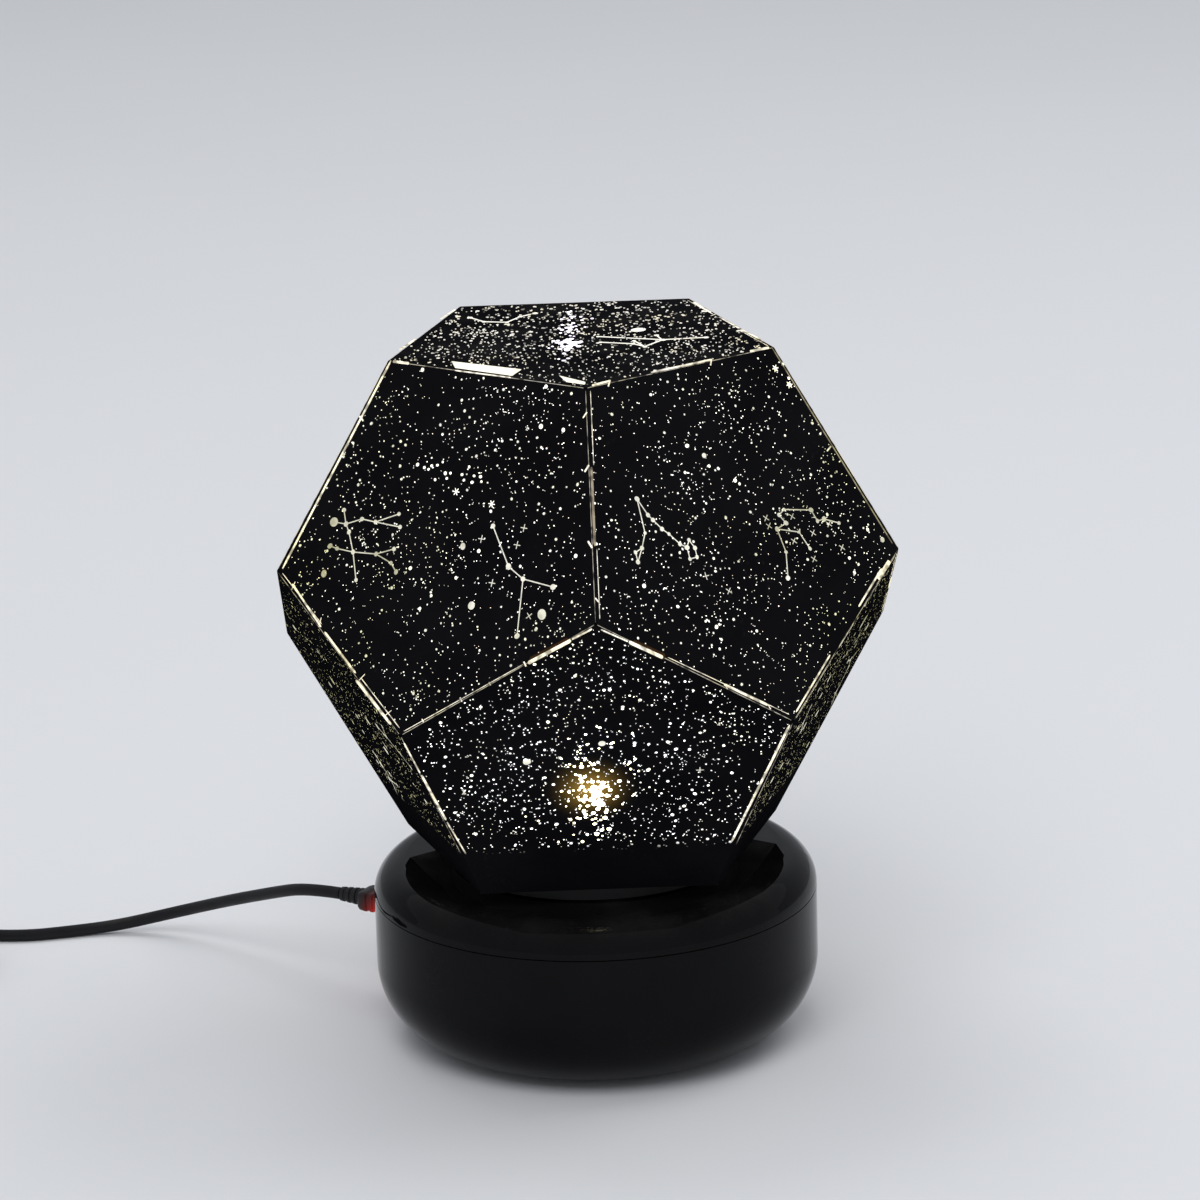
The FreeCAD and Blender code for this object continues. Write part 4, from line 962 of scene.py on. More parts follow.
@dataclass
class LanternShape:
    """The twelve-sided lantern: its faces and seams."""

    edge_mm: float = 64.0
    middle_mm: float = 127.87
    faces: dict[str, Face] = field(init=False)
    seams: list[Seam] = field(init=False)

    def ring(self, radius: float, height: float, first: float) -> list[Vector]:
        """Five corners round the lantern.

        Args:
            radius: Their distance from its axis, in edges.
            height: Their height over its middle, in edges.
            first: The first one's direction, in degrees from the front.

        Returns:
            The corners in metres.
        """
        corners = []
        for k in range(SIDES):
            turn = math.radians(first + k * 360 / SIDES)
            x, y = radius * math.sin(turn), -radius * math.cos(turn)
            corners.append(mm(x * self.edge_mm, y * self.edge_mm, height * self.edge_mm + self.middle_mm))
        return corners

    def __post_init__(self) -> None:
        """Works out the rings, faces and seams."""
        ring = 1 / (2 * math.sin(math.pi / SIDES))
        belt = ring * GOLDEN
        reach = ring * GOLDEN**2 / 2
        rise = reach - math.sqrt(1 - (belt - ring) ** 2)
        top, upper = self.ring(ring, reach, 0), self.ring(belt, rise, 0)
        lower, bottom = self.ring(belt, -rise, 36), self.ring(ring, -reach, 36)
        faces = self.faces = {"top": Face("top", top), "floor": Face("floor", bottom)}
        for k in range(SIDES):
            after = (k + 1) % SIDES
            high = [top[k], top[after], upper[after], lower[k], upper[k]]
            low = [upper[k], lower[k], bottom[k], bottom[k - 1], lower[k - 1]]
            faces[f"upper_{k + 1}"] = Face(f"upper_{k + 1}", high)
            faces[f"lower_{k + 1}"] = Face(f"lower_{k + 1}", low)
        self.seams = []
        for k in range(SIDES):
            after = (k + 1) % SIDES
            here, before = faces[f"upper_{k + 1}"], faces[f"upper_{(k - 1) % SIDES + 1}"]
            under, beyond = faces[f"lower_{k + 1}"], faces[f"lower_{after + 1}"]
            self.seams += [
                Seam(f"top_{k + 1}", top[k], top[after], (faces["top"], here)),
                Seam(f"upper_{k + 1}", top[k], upper[k], (before, here)),
                Seam(f"belt_left_{k + 1}", upper[k], lower[k], (here, under)),
                Seam(f"belt_right_{k + 1}", lower[k], upper[after], (here, beyond)),
                Seam(f"lower_{k + 1}", lower[k], bottom[k], (under, beyond)),
            ]


# ---------------------------------------------------------------- the photograph's view


@dataclass(frozen=True)
class Viewpoint:
    """The photograph's camera, and where a place in its picture lies on a face."""

    place_mm: tuple[float, float, float] = (-31.98, -1393.40, 535.15)
    heading: float = 1.461
    dip: float = 16.386
    roll: float = 1.666
    lens: float = 158.48
    film: float = 36.0
    picture: int = 1200
    farthest: float = 30.0

    def turn(self) -> Matrix:
        """The camera's turn.

        Returns:
            The turn from looking down to looking at the lantern.
        """
        level = Matrix.Rotation(math.radians(-self.heading), 4, "Z")
        pitch = Matrix.Rotation(math.radians(90 - self.dip), 4, "X")
        return level @ pitch @ Matrix.Rotation(math.radians(-self.roll), 4, "Z")

    def camera(self) -> None:
        """Sets the camera up."""
        lens = bpy.data.cameras.new("photo_camera")
        lens.lens = self.lens
        lens.sensor_width = self.film
        lens.clip_end = self.farthest
        camera = linked("photo_camera", lens)
        camera.matrix_world = Matrix.Translation(mm(*self.place_mm)) @ self.turn()
        bpy.context.scene.camera = camera

    def focal(self) -> float:
        """The lens's focal length in picture units."""
        return self.lens / self.film * self.picture

    def onto(self, pixel: Pixel, face: Face) -> Vector:
        """Where a place in the picture lies on a face.

        Args:
            pixel: The place, right and down from the picture's corner.
            face: The face.

        Returns:
            The point on the face's plane.
        """
        half = self.picture / 2
        ray = self.turn().to_3x3() @ Vector((pixel[0] - half, half - pixel[1], -self.focal()))
        eye = mm(*self.place_mm)
        return eye + ray * (face.normal.dot(face.middle - eye) / face.normal.dot(ray))

    def size(self, pixels: float, point: Vector) -> float:
        """How large that many picture units are at a point, in metres."""
        return pixels * (point - mm(*self.place_mm)).length / self.focal()


# ---------------------------------------------------------------- the charging lead


@dataclass(frozen=True)
class ChargingLead:
    """The thin USB lead: its cord, its two plugs and the tie of its put-away coil."""

    radius_mm: float = 1.75
    length: float = 1.0165
    port_angle: float = 150.0
    port_height_mm: float = 28.0
    exit_mm: tuple[float, float, float] = (-72.313, 41.75, 28.0)
    route_mm: tuple[tuple[float, float, float], ...] = (
        (-82.53, 47.65, 28.0),
        (-93.0, 59.8, 22.6),
        (-107.5, 76.6, 14.6),
        (-124.5, 90.8, 6.4),
        (-140.5, 93.4, 2.3),
        (-154.5, 91.2, 1.75),
        (-168.0, 88.6, 1.75),
        (-185.0, 91.9, 1.75),
        (-201.0, 91.9, 1.75),
    )
    coil_middle_mm: tuple[float, float] = (-204.5, 65.9)
    coil_inner_mm: float = 12.0
    coil_turns: int = 7
    coil_pitch_mm: float = 4.0
    steps_per_turn: int = 16
    exit_run_mm: float = 6.0
    drop_run_mm: float = 14.0
    finish_mm: tuple[float, float, float] = (-228.0, 91.9, 4.0)
    tie_heading: float = -35.0
    tie_span_mm: tuple[float, float] = (10.8, 27.2)
    tie_height_mm: float = 8.1
    tie_width_mm: float = 7.0
    tie_thickness_mm: float = 0.55
    tie_round_mm: float = 2.2
    tie_smooth_below: float = 40.0
    contacts_mm: tuple[float, ...] = (-3.5, -1.0, 1.0, 3.5)

    def coil(self) -> list[Vector]:
        """The coil's points: inward below, a climb, and outward above.

        Returns:
            The points in metres.
        """
        half = self.coil_turns / 2
        spread = 1 / math.cos(math.pi / self.steps_per_turn)
        points = []
        for k in range(self.coil_turns * self.steps_per_turn + 1):
            turns = k / self.steps_per_turn
            angle = math.radians(90 + 360 * turns)
            radius = (self.coil_inner_mm + self.coil_pitch_mm * abs(turns - half)) * spread
            climbed = min(max((4 * (turns - half) + 1) / 2, 0.0), 1.0)
            x = self.coil_middle_mm[0] + radius * math.cos(angle)
            y = self.coil_middle_mm[1] + radius * math.sin(angle)
            points.append(mm(x, y, self.radius_mm + self.coil_pitch_mm * climbed))
        return points

    def cord(self) -> bpy.types.Object:
        """The cord, one smooth line from plug to plug.

        Returns:
            The cord's curve.
        """
        coil = self.coil()
        away = coil[-1] - mm(self.exit_run_mm, 0, 0)
        low = Vector((away.x - self.drop_run_mm * MM, away.y, self.finish_mm[2] * MM))
        points = [mm(*self.exit_mm)] + [mm(*point) for point in self.route_mm] + coil
        points += [away, low, mm(*self.finish_mm)]
        curve = bpy.data.curves.new("charging_cord", "CURVE")
        curve.dimensions = "3D"
        curve.bevel_depth = self.radius_mm * MM
        curve.bevel_resolution = 5
        curve.use_fill_caps = True
        curve.resolution_u = 6
        spline = curve.splines.new("NURBS")
        spline.points.add(len(points) - 1)
        for knot, point in zip(spline.points, points):
            knot.co = (*point, 1.0)
        spline.order_u = 3
        spline.use_endpoint_u = True
        piece = linked("charging_cord", curve)
        return dress(piece, "charging_cord", Body.BASE, cord_sleeve)

    def lamp_plug(self) -> list[bpy.types.Object]:
        """The plug at the lamp: a moulded body with finger grips, and its ribbed relief.

        Returns:
            The plug's pieces.
        """
        ribs = ((0.35, 0.93, 0.95), (0.75, 0.93, 0.95), (0.35, 1.0, 1.0), (0.75, 1.0, 1.0))
        body = DrawnForm(
            62.1, 9.6, 5.6, 1.4,
            ((0.0, 0.90, 0.86), (0.25, 0.97, 0.95), (0.35, 1.0, 1.0), (4.2, 1.0, 1.0)) + ribs * 3
            + ((1.4, 0.94, 0.95), (0.8, 0.80, 0.86), (0.4, 0.62, 0.70)),
        ).build("lamp_plug")
        relief = DrawnForm(
            75.6, 5.0, 5.0, 2.3,
            even(
                (1.1, 1.0), (0.25, 0.84), (0.6, 0.84), (0.25, 0.97),
                (0.9, 0.94), (0.25, 0.80), (0.6, 0.80), (0.25, 0.91),
                (0.9, 0.88), (0.25, 0.77), (0.6, 0.77), (0.25, 0.85), (1.2, 0.80),
            ),
            round_steps=7,
        ).build("lamp_plug_relief")
        pieces = []
        # The body's finish has the charge light's red glow painted on its underside.
        for piece, finish in ((body, glowing_plug), (relief, plug_plastic)):
            carry(piece, self.port_angle, mm(0, 0, self.port_height_mm))
            pieces.append(dress(piece, piece.name, Body.BASE, finish))
        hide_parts("micro_usb_plug")
        return pieces

    def far_plug(self) -> list[bpy.types.Object]:
        """The plug at the far end: body, relief, and the tongue and contacts in its metal tip.

        Returns:
            The plug's pieces.
        """
        ribs = ((0.35, 0.965, 1.0), (0.8, 0.965, 1.0), (0.35, 1.0, 1.0), (0.8, 1.0, 1.0))
        body = DrawnForm(
            6.6, 15.6, 8.0, 1.8,
            ((0.0, 0.62, 0.62), (0.4, 0.72, 0.76), (1.4, 0.86, 0.90), (1.6, 0.95, 0.97))
            + even((1.4, 1.0), (2.6, 1.0)) + ribs * 3
            + ((3.6, 1.0, 1.0), (0.75, 0.97, 0.95), (0.4, 0.92, 0.88)),
        ).build("far_plug")
        relief = DrawnForm(
            0.0, 4.4, 4.4, 2.0,
            even(
                (1.4, 1.05), (0.3, 0.90), (0.7, 0.90), (0.3, 1.12),
                (1.0, 1.17), (0.3, 1.0), (0.7, 1.0), (0.3, 1.25), (2.2, 1.42),
            ),
            round_steps=7,
        ).build("far_plug_relief")
        tongue = DrawnForm(
            26.1, 11.0, 1.9, 0.3, ((10.2, 1.0, 1.0), (0.5, 0.97, 0.7)), round_steps=2,
        ).build("far_plug_tongue")
        tongue.location.z = -1.05 * MM
        settle(tongue)
        strip = DrawnForm(
            28.2, 1.1, 0.25, 0.1, ((7.0, 1.0, 1.0), (0.4, 0.8, 0.6)), round_steps=2,
        ).build("contact_strip")
        spots = [Matrix.Translation(mm(0, across, -0.05)) for across in self.contacts_mm]
        contacts = copied(strip, "far_plug_contacts", spots)
        bpy.data.objects.remove(strip)
        pieces = []
        finishes = (
            (body, plug_plastic, "plug_plastic"),
            (relief, plug_plastic, "plug_plastic"),
            (tongue, tongue_white, "plug_plastic"),
            (contacts, contact_gold, "plated_metal"),
        )
        for piece, finish, slot in finishes:
            carry(piece, 180, mm(*self.finish_mm))
            pieces.append(dress(piece, piece.name, Body.BASE, finish))
        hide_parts("usb_a_plug")
        return pieces

    def tie(self) -> list[bpy.types.Object]:
        """The fabric tie round the put-away coil: a flat band and its loose end.

        Returns:
            The tie's pieces.
        """
        near, far = self.tie_span_mm
        band = open_plate(
            "coil_tie", -self.tie_width_mm / 2, self.tie_height_mm, far - near, self.tie_round_mm, 6,
        )
        bpy.ops.mesh.inset(thickness=self.tie_thickness_mm * MM)
        bpy.ops.mesh.delete(type="FACE")
        bpy.ops.mesh.select_all(action="SELECT")
        bpy.ops.mesh.extrude_region_move(TRANSFORM_OT_translate={"value": mm(self.tie_width_mm, 0, 0)})
        close_smooth(self.tie_smooth_below)
        end = DrawnForm(
            -5.0, self.tie_width_mm - 0.8, self.tie_thickness_mm, 0.2,
            ((0.0, 0.8, 0.8), (0.5, 1.0, 1.0), (9.0, 1.0, 1.0), (2.0, 0.86, 1.0), (1.2, 0.5, 0.9)),
            round_steps=3,
        ).build("coil_tie_end")
        turn = math.radians(self.tie_heading)
        reach = (near + far) / 2
        x, y = self.coil_middle_mm
        middle = mm(x + reach * math.cos(turn), y + reach * math.sin(turn), 0)
        carry(band, self.tie_heading + 90, middle + mm(0, 0, self.tie_height_mm / 2 + 0.02))
        carry(end, self.tie_heading, middle + mm(0, 0, self.tie_height_mm + self.tie_thickness_mm / 2))
        return [dress(piece, piece.name, Body.BASE, tie_fabric) for piece in (band, end)]

    def build(self) -> None:
        cord = self.cord()
        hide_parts("cord_run", "cord_coil")
        tips = [frame["nodes"][name] for name in ("micro_usb_tip", "usb_a_tip")]
        carried = self.lamp_plug() + self.far_plug() + self.tie() + tips


# ---------------------------------------------------------------- the star windows


@dataclass(frozen=True)
class Templates:
    """The shapes that windows are copies of: round ones of one unit's radius, and a bar one unit long."""

    crown: float = 0.25
    bar_length: float = 0.94
    point_length: float = 0.03
    point_width: float = 0.45

    def window(self, name: str, corners: int, inset: float) -> bpy.types.Object:
        """A window: a low prism with a crowned top.

        Args:
            name: Its name.
            corners: How many corners it has.
            inset: How far its top draws in.

        Returns:
            The shape.
        """
        deselect_all()
        bpy.ops.mesh.primitive_cylinder_add(vertices=corners, radius=1.0, depth=1.0, end_fill_type="NGON")
        piece = bpy.context.object
        piece.name = name
        self.raise_top(piece, inset)
        return piece

    def raise_top(self, piece: bpy.types.Object, inset: float) -> None:
        """Draws the top face in and lifts it.

        Args:
            piece: The shape.
            inset: How far its top draws in.
        """
        for face in piece.data.polygons:
            face.select = face.normal.z > 0.9
        for edge in piece.data.edges:
            edge.select = False
        for vertex in piece.data.vertices:
            vertex.select = vertex.co.z > 0
        take(piece)
        bpy.ops.object.mode_set(mode="EDIT")
        bpy.ops.mesh.select_mode(type="FACE")
        bpy.ops.mesh.inset(thickness=inset)
        bpy.ops.transform.translate(value=(0, 0, self.crown))
        bpy.ops.object.mode_set(mode="OBJECT")

    def stroke(self) -> bpy.types.Object:
        """A stroke: a low bar whose ends draw to blunt points.

        Returns:
            The shape.
        """
        deselect_all()
        bpy.ops.mesh.primitive_cube_add(size=1.0)
        piece = bpy.context.object
        piece.name = "stroke"
        piece.scale = (self.bar_length, 1.0, 1.0)
        settle(piece)
        for end in (-1, 1):
            take(piece)
            for item in (*piece.data.vertices, *piece.data.edges, *piece.data.polygons):
                item.select = False
            for face in piece.data.polygons:
                face.select = face.normal.x * end > 0.9
            bpy.ops.object.mode_set(mode="EDIT")
            bpy.ops.mesh.select_mode(type="FACE")
            step = (self.point_length * end, 0, 0)
            bpy.ops.mesh.extrude_region_move(TRANSFORM_OT_translate={"value": step})
            bpy.ops.transform.resize(value=(1, self.point_width, 1), center_override=(0.5 * end, 0, 0))
            bpy.ops.object.mode_set(mode="OBJECT")
        return piece

    def clear(self, *pieces: bpy.types.Object) -> None:
        """Removes the templates when their copies are made."""
        for piece in pieces:
            bpy.data.objects.remove(piece)


@dataclass(frozen=True)
class StarScatter:
    """How one face's small windows are scattered."""

    count: int = 1500
    clustered: float = 0.30
    clusters: int = 60
    spread_mm: tuple[float, float] = (2.0, 9.0)
    fine_mm: tuple[float, float] = (0.09, 0.22)
    round_mm: tuple[float, float] = (0.24, 0.45)
    round_share: float = 0.15
    margin_mm: float = 1.1
    squash: tuple[float, float] = (0.4, 1.0)


@dataclass(frozen=True)
class InventedFigures:
    """How the figures of an unseen face are drawn at random, in millimetres and radians."""

    aside: tuple[float, float] = (14, 24)
    upward: tuple[float, float] = (-14, 12)
    joints: tuple[int, int] = (4, 6)
    bend: float = 0.9
    step: tuple[float, float] = (4, 9)
    margin: float = 4.0
    joint_radii: tuple[float, float] = (0.5, 0.9)
    branch: float = 6.0
    branch_radius: float = 0.6
    large: int = 16
    large_reach: float = 30.0
    large_margin: float = 2.0
    large_radii: tuple[float, float] = (0.45, 1.1)
    mark_reach: float = 25.0


@dataclass
class StarField:
    """The printed sky: small windows on every face, the drawn figures and the lamp's bright patches."""

    shape: LanternShape
    view: Viewpoint
    templates: Templates = field(default_factory=Templates)
    seed: int = 681
    rise_mm: float = 0.03
    reach_mm: float = 55.0
    line_mm: float = 0.30
    mark_mm: float = 2.1
    mark_line_mm: float = 0.22
    top_rise_mm: float = 0.2
    bright_below: float = 2.5
    line_rise: float = 1.3
    joint_radii_mm: tuple[float, float] = (0.46, 0.70)
    patch_margin_mm: float = 1.5
    middle_share: float = 0.80
    share_per_metre: float = 3.2
    least_share: float = 0.62
    invention: InventedFigures = InventedFigures()
    lamp_lit: tuple[str, ...] = tuple(f"lower_{number}" for number in LAMP_SPOT_FACES)
    scatters: dict[str, StarScatter] = field(
        default_factory=lambda: {
            "top": StarScatter(
                count=1500, clustered=0.2, fine_mm=(0.19, 0.32), round_mm=(0.33, 0.54), round_share=0.26,
            ),
            "lamp_lit": StarScatter(
                count=1950, clustered=0.25, spread_mm=(3.0, 9.0), fine_mm=(0.09, 0.22), round_share=0.11,
            ),
            "lower": StarScatter(count=1350, fine_mm=(0.08, 0.20), round_share=0.12),
            "upper": StarScatter(fine_mm=(0.08, 0.19), round_mm=(0.21, 0.41), round_share=0.13),
        }
    )

    def scatter_of(self, name: str) -> StarScatter:
        """The scatter of a face, by its own name or its row's.

        Args:
            name: The face's name.

        Returns:
            How its small windows are scattered.
        """
        if name in self.lamp_lit:
            return self.scatters["lamp_lit"]
        return self.scatters[name.split("_")[0]]

    def rise_of(self, face: Face) -> float:
        """How high the windows of a face stand, in metres."""
        return (self.top_rise_mm if face.name == "top" else self.rise_mm) * MM

    def nearness(self, face: Face, point: Vector) -> float:
        """How large a scattered window is there: the top panel's are smaller to the front.

        Args:
            face: The face.
            point: The window's middle.

        Returns:
            The share of its drawn size.
        """
        if face.name != "top":
            return 1.0
        share = self.middle_share + self.share_per_metre * (point.y - face.middle.y)
        return min(max(share, self.least_share), 1.0)

    def finish_of(self, name: str, is_round: bool) -> Finish:
        """The finish of a face's scattered windows.

        Args:
            name: The face's name.
            is_round: Whether they are the larger, round ones.

        Returns:
            The finish.
        """
        if name.startswith("lower"):
            return front_windows if name in self.lamp_lit else side_windows
        if name == "top":
            return top_windows
        return round_windows if is_round else fine_windows

    def strewn(self, face: Face, scatter: StarScatter, rng: random.Random) -> list[Vector]:
        """Scatters a face's small windows.

        Args:
            face: The face.
            scatter: How they lie.
            rng: The seeded draws.

        Returns:
            Their middles.
        """
        reach = self.reach_mm * MM
        knots = []
        for _ in range(scatter.clusters):
            spread = rng.uniform(*scatter.spread_mm) * MM
            across, upward = rng.uniform(-reach, reach), rng.uniform(-reach, reach)
            knots.append((across, upward, spread, rng.uniform(*scatter.squash)))
        points: list[Vector] = []
        while len(points) < scatter.count:
            if rng.random() < scatter.clustered:
                across, upward, spread, squash = rng.choice(knots)
                point = face.at(rng.gauss(across, spread), rng.gauss(upward, spread * squash))
            else:
                point = face.at(rng.uniform(-reach, reach), rng.uniform(-reach, reach))
            if face.clearance(point) > scatter.margin_mm * MM:
                points.append(point)
        return points

    def window_at(self, face: Face, point: Vector, radius: float, rng: random.Random) -> Matrix:
        """The place of one round window, slightly oval and turned at random.

        Args:
            face: The face.
            point: The window's middle.
            radius: Its radius in metres.
            rng: The seeded draws.

        Returns:
            Its place.
        """
        along = face.way(rng.uniform(0, math.pi))
        oval = rng.uniform(1.0, 1.25)
        return face.seat(point, along, radius * oval, radius, self.rise_of(face))

    def sky(self, face: Face, fine: bpy.types.Object, large: bpy.types.Object) -> None:
        """Makes one face's scattered windows.

        Args:
            face: The face.
            fine: The shape of the fine windows.
            large: The shape of the round windows.
        """
        rng = random.Random(f"{self.seed} {face.name}")
        scatter = self.scatter_of(face.name)
        sizes: dict[bool, list[Matrix]] = {False: [], True: []}
        for point in self.strewn(face, scatter, rng):
            is_round = rng.random() < scatter.round_share
            low, high = scatter.round_mm if is_round else scatter.fine_mm
            radius = (low + (high - low) * rng.random() ** 2) * self.nearness(face, point) * MM
            sizes[is_round].append(self.window_at(face, point, radius, rng))
        for is_round, template, label in ((False, fine, "fine_windows"), (True, large, "round_windows")):
            finish = self.finish_of(face.name, is_round)
            printed(template, f"{label}_{face.name}", sizes[is_round], finish)

    def figures(self, face: Face, stroke: bpy.types.Object, large: bpy.types.Object) -> None:
        """Draws one face's figures, marks and large windows.

        Args:
            face: The face.
            stroke: The shape of a line.
            large: The shape of a round window.
        """
        rng = random.Random(f"figures {face.name}")
        lines: list[Matrix] = []
        rounds: list[Matrix] = []
        bright: list[Matrix] = []
        bright_lines: list[Matrix] = []
        drawn = DRAWINGS.get(face.name)
        if drawn:
            for path in drawn.lines:
                points = [self.view.onto(pixel, face) for pixel in path]
                lines += [self.line(face, start, end) for start, end in zip(points, points[1:])]
                radii = self.joint_radii_mm
                rounds += [self.window_at(face, point, rng.uniform(*radii) * MM, rng) for point in points]
            for (x, y), pixels in drawn.dots:
                point = self.view.onto((x, y), face)
                kind = bright if pixels < self.bright_below else rounds
                kind.append(self.window_at(face, point, self.view.size(pixels, point), rng))
            for (x, y), turns in drawn.marks:
                marks = bright_lines if turns == SIX_POINTS else lines
                marks += self.mark(face, self.view.onto((x, y), face), turns)
        else:
            lines, rounds = self.invented(face, rng)
        figure_finish = top_figure_windows if face.name == "top" else figure_windows
        for label, template, places, finish in (
            ("figure_lines", stroke, lines, figure_finish),
            ("figure_stars", large, rounds, figure_finish),
            ("bright_stars", large, bright, bright_windows),
            ("bright_marks", stroke, bright_lines, bright_windows),
        ):
            if places:
                printed(template, f"{label}_{face.name}", places, finish)

    def line(self, face: Face, start: Vector, end: Vector) -> Matrix:
        """The place of a figure's straight line between two points of a face."""
        width = self.line_mm * MM
        return face.bar(start, end, width, self.line_rise * self.rise_of(face), more=width / 2)

    def mark(self, face: Face, point: Vector, turns: tuple[float, ...]) -> list[Matrix]:
        """A small mark of crossed lines, such as a plus or a six-point star.

        Args:
            face: The face.
            point: Its middle.
            turns: Its lines' directions in degrees.

        Returns:
            The lines' places.
        """
        size, width = self.mark_mm * MM, self.mark_line_mm * MM
        ways = [face.way(math.radians(turn)) for turn in turns]
        return [face.seat(point, way, size, width, self.rise_of(face)) for way in ways]

    def invented(self, face: Face, rng: random.Random) -> tuple[list[Matrix], list[Matrix]]:
        """Stick figures of the same kind for a face that the photograph doesn't show.

        Args:
            face: The face.
            rng: The seeded draws.

        Returns:
            The lines' and the round windows' places.
        """
        lines: list[Matrix] = []
        rounds: list[Matrix] = []
        how = self.invention
        for side in (-1, 1):
            across, upward = side * rng.uniform(*how.aside) * MM, rng.uniform(*how.upward) * MM
            heading = rng.uniform(0, 2 * math.pi)
            chain = []
            for _ in range(rng.randint(*how.joints)):
                point = face.at(across, upward)
                if face.clearance(point) > how.margin * MM:
                    chain.append(point)
                heading += rng.uniform(-how.bend, how.bend)
                step = rng.uniform(*how.step) * MM
                across += step * math.cos(heading)
                upward += step * math.sin(heading)
            lines += [self.line(face, start, end) for start, end in zip(chain, chain[1:])]
            radii = how.joint_radii
            rounds += [self.window_at(face, point, rng.uniform(*radii) * MM, rng) for point in chain]
            if len(chain) > 2:
                tip = chain[1] + face.way(rng.uniform(0, math.pi)) * how.branch * MM
                lines.append(self.line(face, chain[1], tip))
                rounds.append(self.window_at(face, tip, how.branch_radius * MM, rng))
        for _ in range(how.large):
            point = self.anywhere(face, how.large_reach, rng)
            if face.clearance(point) > how.large_margin * MM:
                rounds.append(self.window_at(face, point, rng.uniform(*how.large_radii) * MM, rng))
        for turns in (PLUS, CROSS, SIX_POINTS):
            lines += self.mark(face, self.anywhere(face, how.mark_reach, rng), turns)
        return lines, rounds

    def anywhere(self, face: Face, reach_mm: float, rng: random.Random) -> Vector:
        """A point drawn at random in a square about the face's middle."""
        return face.at(rng.uniform(-reach_mm, reach_mm) * MM, rng.uniform(-reach_mm, reach_mm) * MM)

    def bright_patch(self, patch: "BrightPatch", large: bpy.types.Object) -> None:
        """The crowded windows where the lamp shines straight through.

        Args:
            patch: Where they are and how they look.
            large: The shape of a window.
        """
        rng = random.Random(patch.name)
        face = self.shape.faces[patch.face]
        places = []
        for (x, y), (wide, high), count, least, most in patch.spots:
            for _ in range(count):
                point = self.view.onto((rng.gauss(x, wide), rng.gauss(y, high)), face)
                if face.clearance(point) > self.patch_margin_mm * MM:
                    places.append(self.window_at(face, point, rng.uniform(least, most) * MM, rng))
        for number in patch.numbers:
            label = patch.name if number == 1 else f"{patch.name}_{number}"
            printed(large, label, [round_lantern(number) @ place for place in places], patch.finish)

    def build(self) -> None:
        """Makes the whole sky."""
        fine = self.templates.window("fine_window", 8, 0.35)
        large = self.templates.window("round_window", 12, 0.3)
        stroke = self.templates.stroke()
        for name, face in self.shape.faces.items():
            if name != "floor":
                self.sky(face, fine, large)
                self.figures(face, stroke, large)
        for patch in BRIGHT_PATCHES:
            self.bright_patch(patch, large)
        self.templates.clear(fine, large, stroke)


@dataclass(frozen=True)
class BrightPatch:
    """Crowded windows where the lamp shines straight through one face, or several lower ones.

    Each spot has its middle and spread in the picture, its count of windows, and their smallest and largest
    radius in millimetres.
    """

    name: str
    face: str
    finish: LitFinish
    spots: tuple[tuple[Pixel, Pixel, int, float, float], ...]
    numbers: tuple[int, ...] = (1,)


LAMP_SPOT_MIDDLE: Pixel = (591, 789)
BRIGHT_PATCHES = (
    BrightPatch(
        "lamp_spot", "lower_1", lamp_windows,
        (
            ((597, 796), (4.0, 5.0), 9, 0.55, 0.95),
            ((591, 797), (11, 17), 58, 0.30, 0.60),
            ((592, 784), (24, 30), 90, 0.18, 0.38),
        ),
        LAMP_SPOT_FACES,
    ),
    BrightPatch(
        "corner_sparks", "upper_1", spark_windows,
        (((775.4, 368.3), (0.8, 0.6), 3, 0.3, 0.45), ((789.0, 384.4), (0.6, 0.8), 3, 0.3, 0.45)),
    ),
    BrightPatch(
        "lamp_streak", "top", streak_windows,
        (((569, 345), (5, 3.0), 34, 0.3, 0.7), ((569, 332), (7, 14), 60, 0.25, 0.55)),
    ),
)


@dataclass(frozen=True)
class Drawing:
    """What the photograph shows drawn on one face, by places in its picture."""

    lines: tuple[tuple[Pixel, ...], ...] = ()
    dots: tuple[tuple[Pixel, float], ...] = ()
    marks: tuple[tuple[Pixel, tuple[float, ...]], ...] = ()


PLUS = (0, 90)
CROSS = (45, 135)
SIX_POINTS = (0, 60, 120)

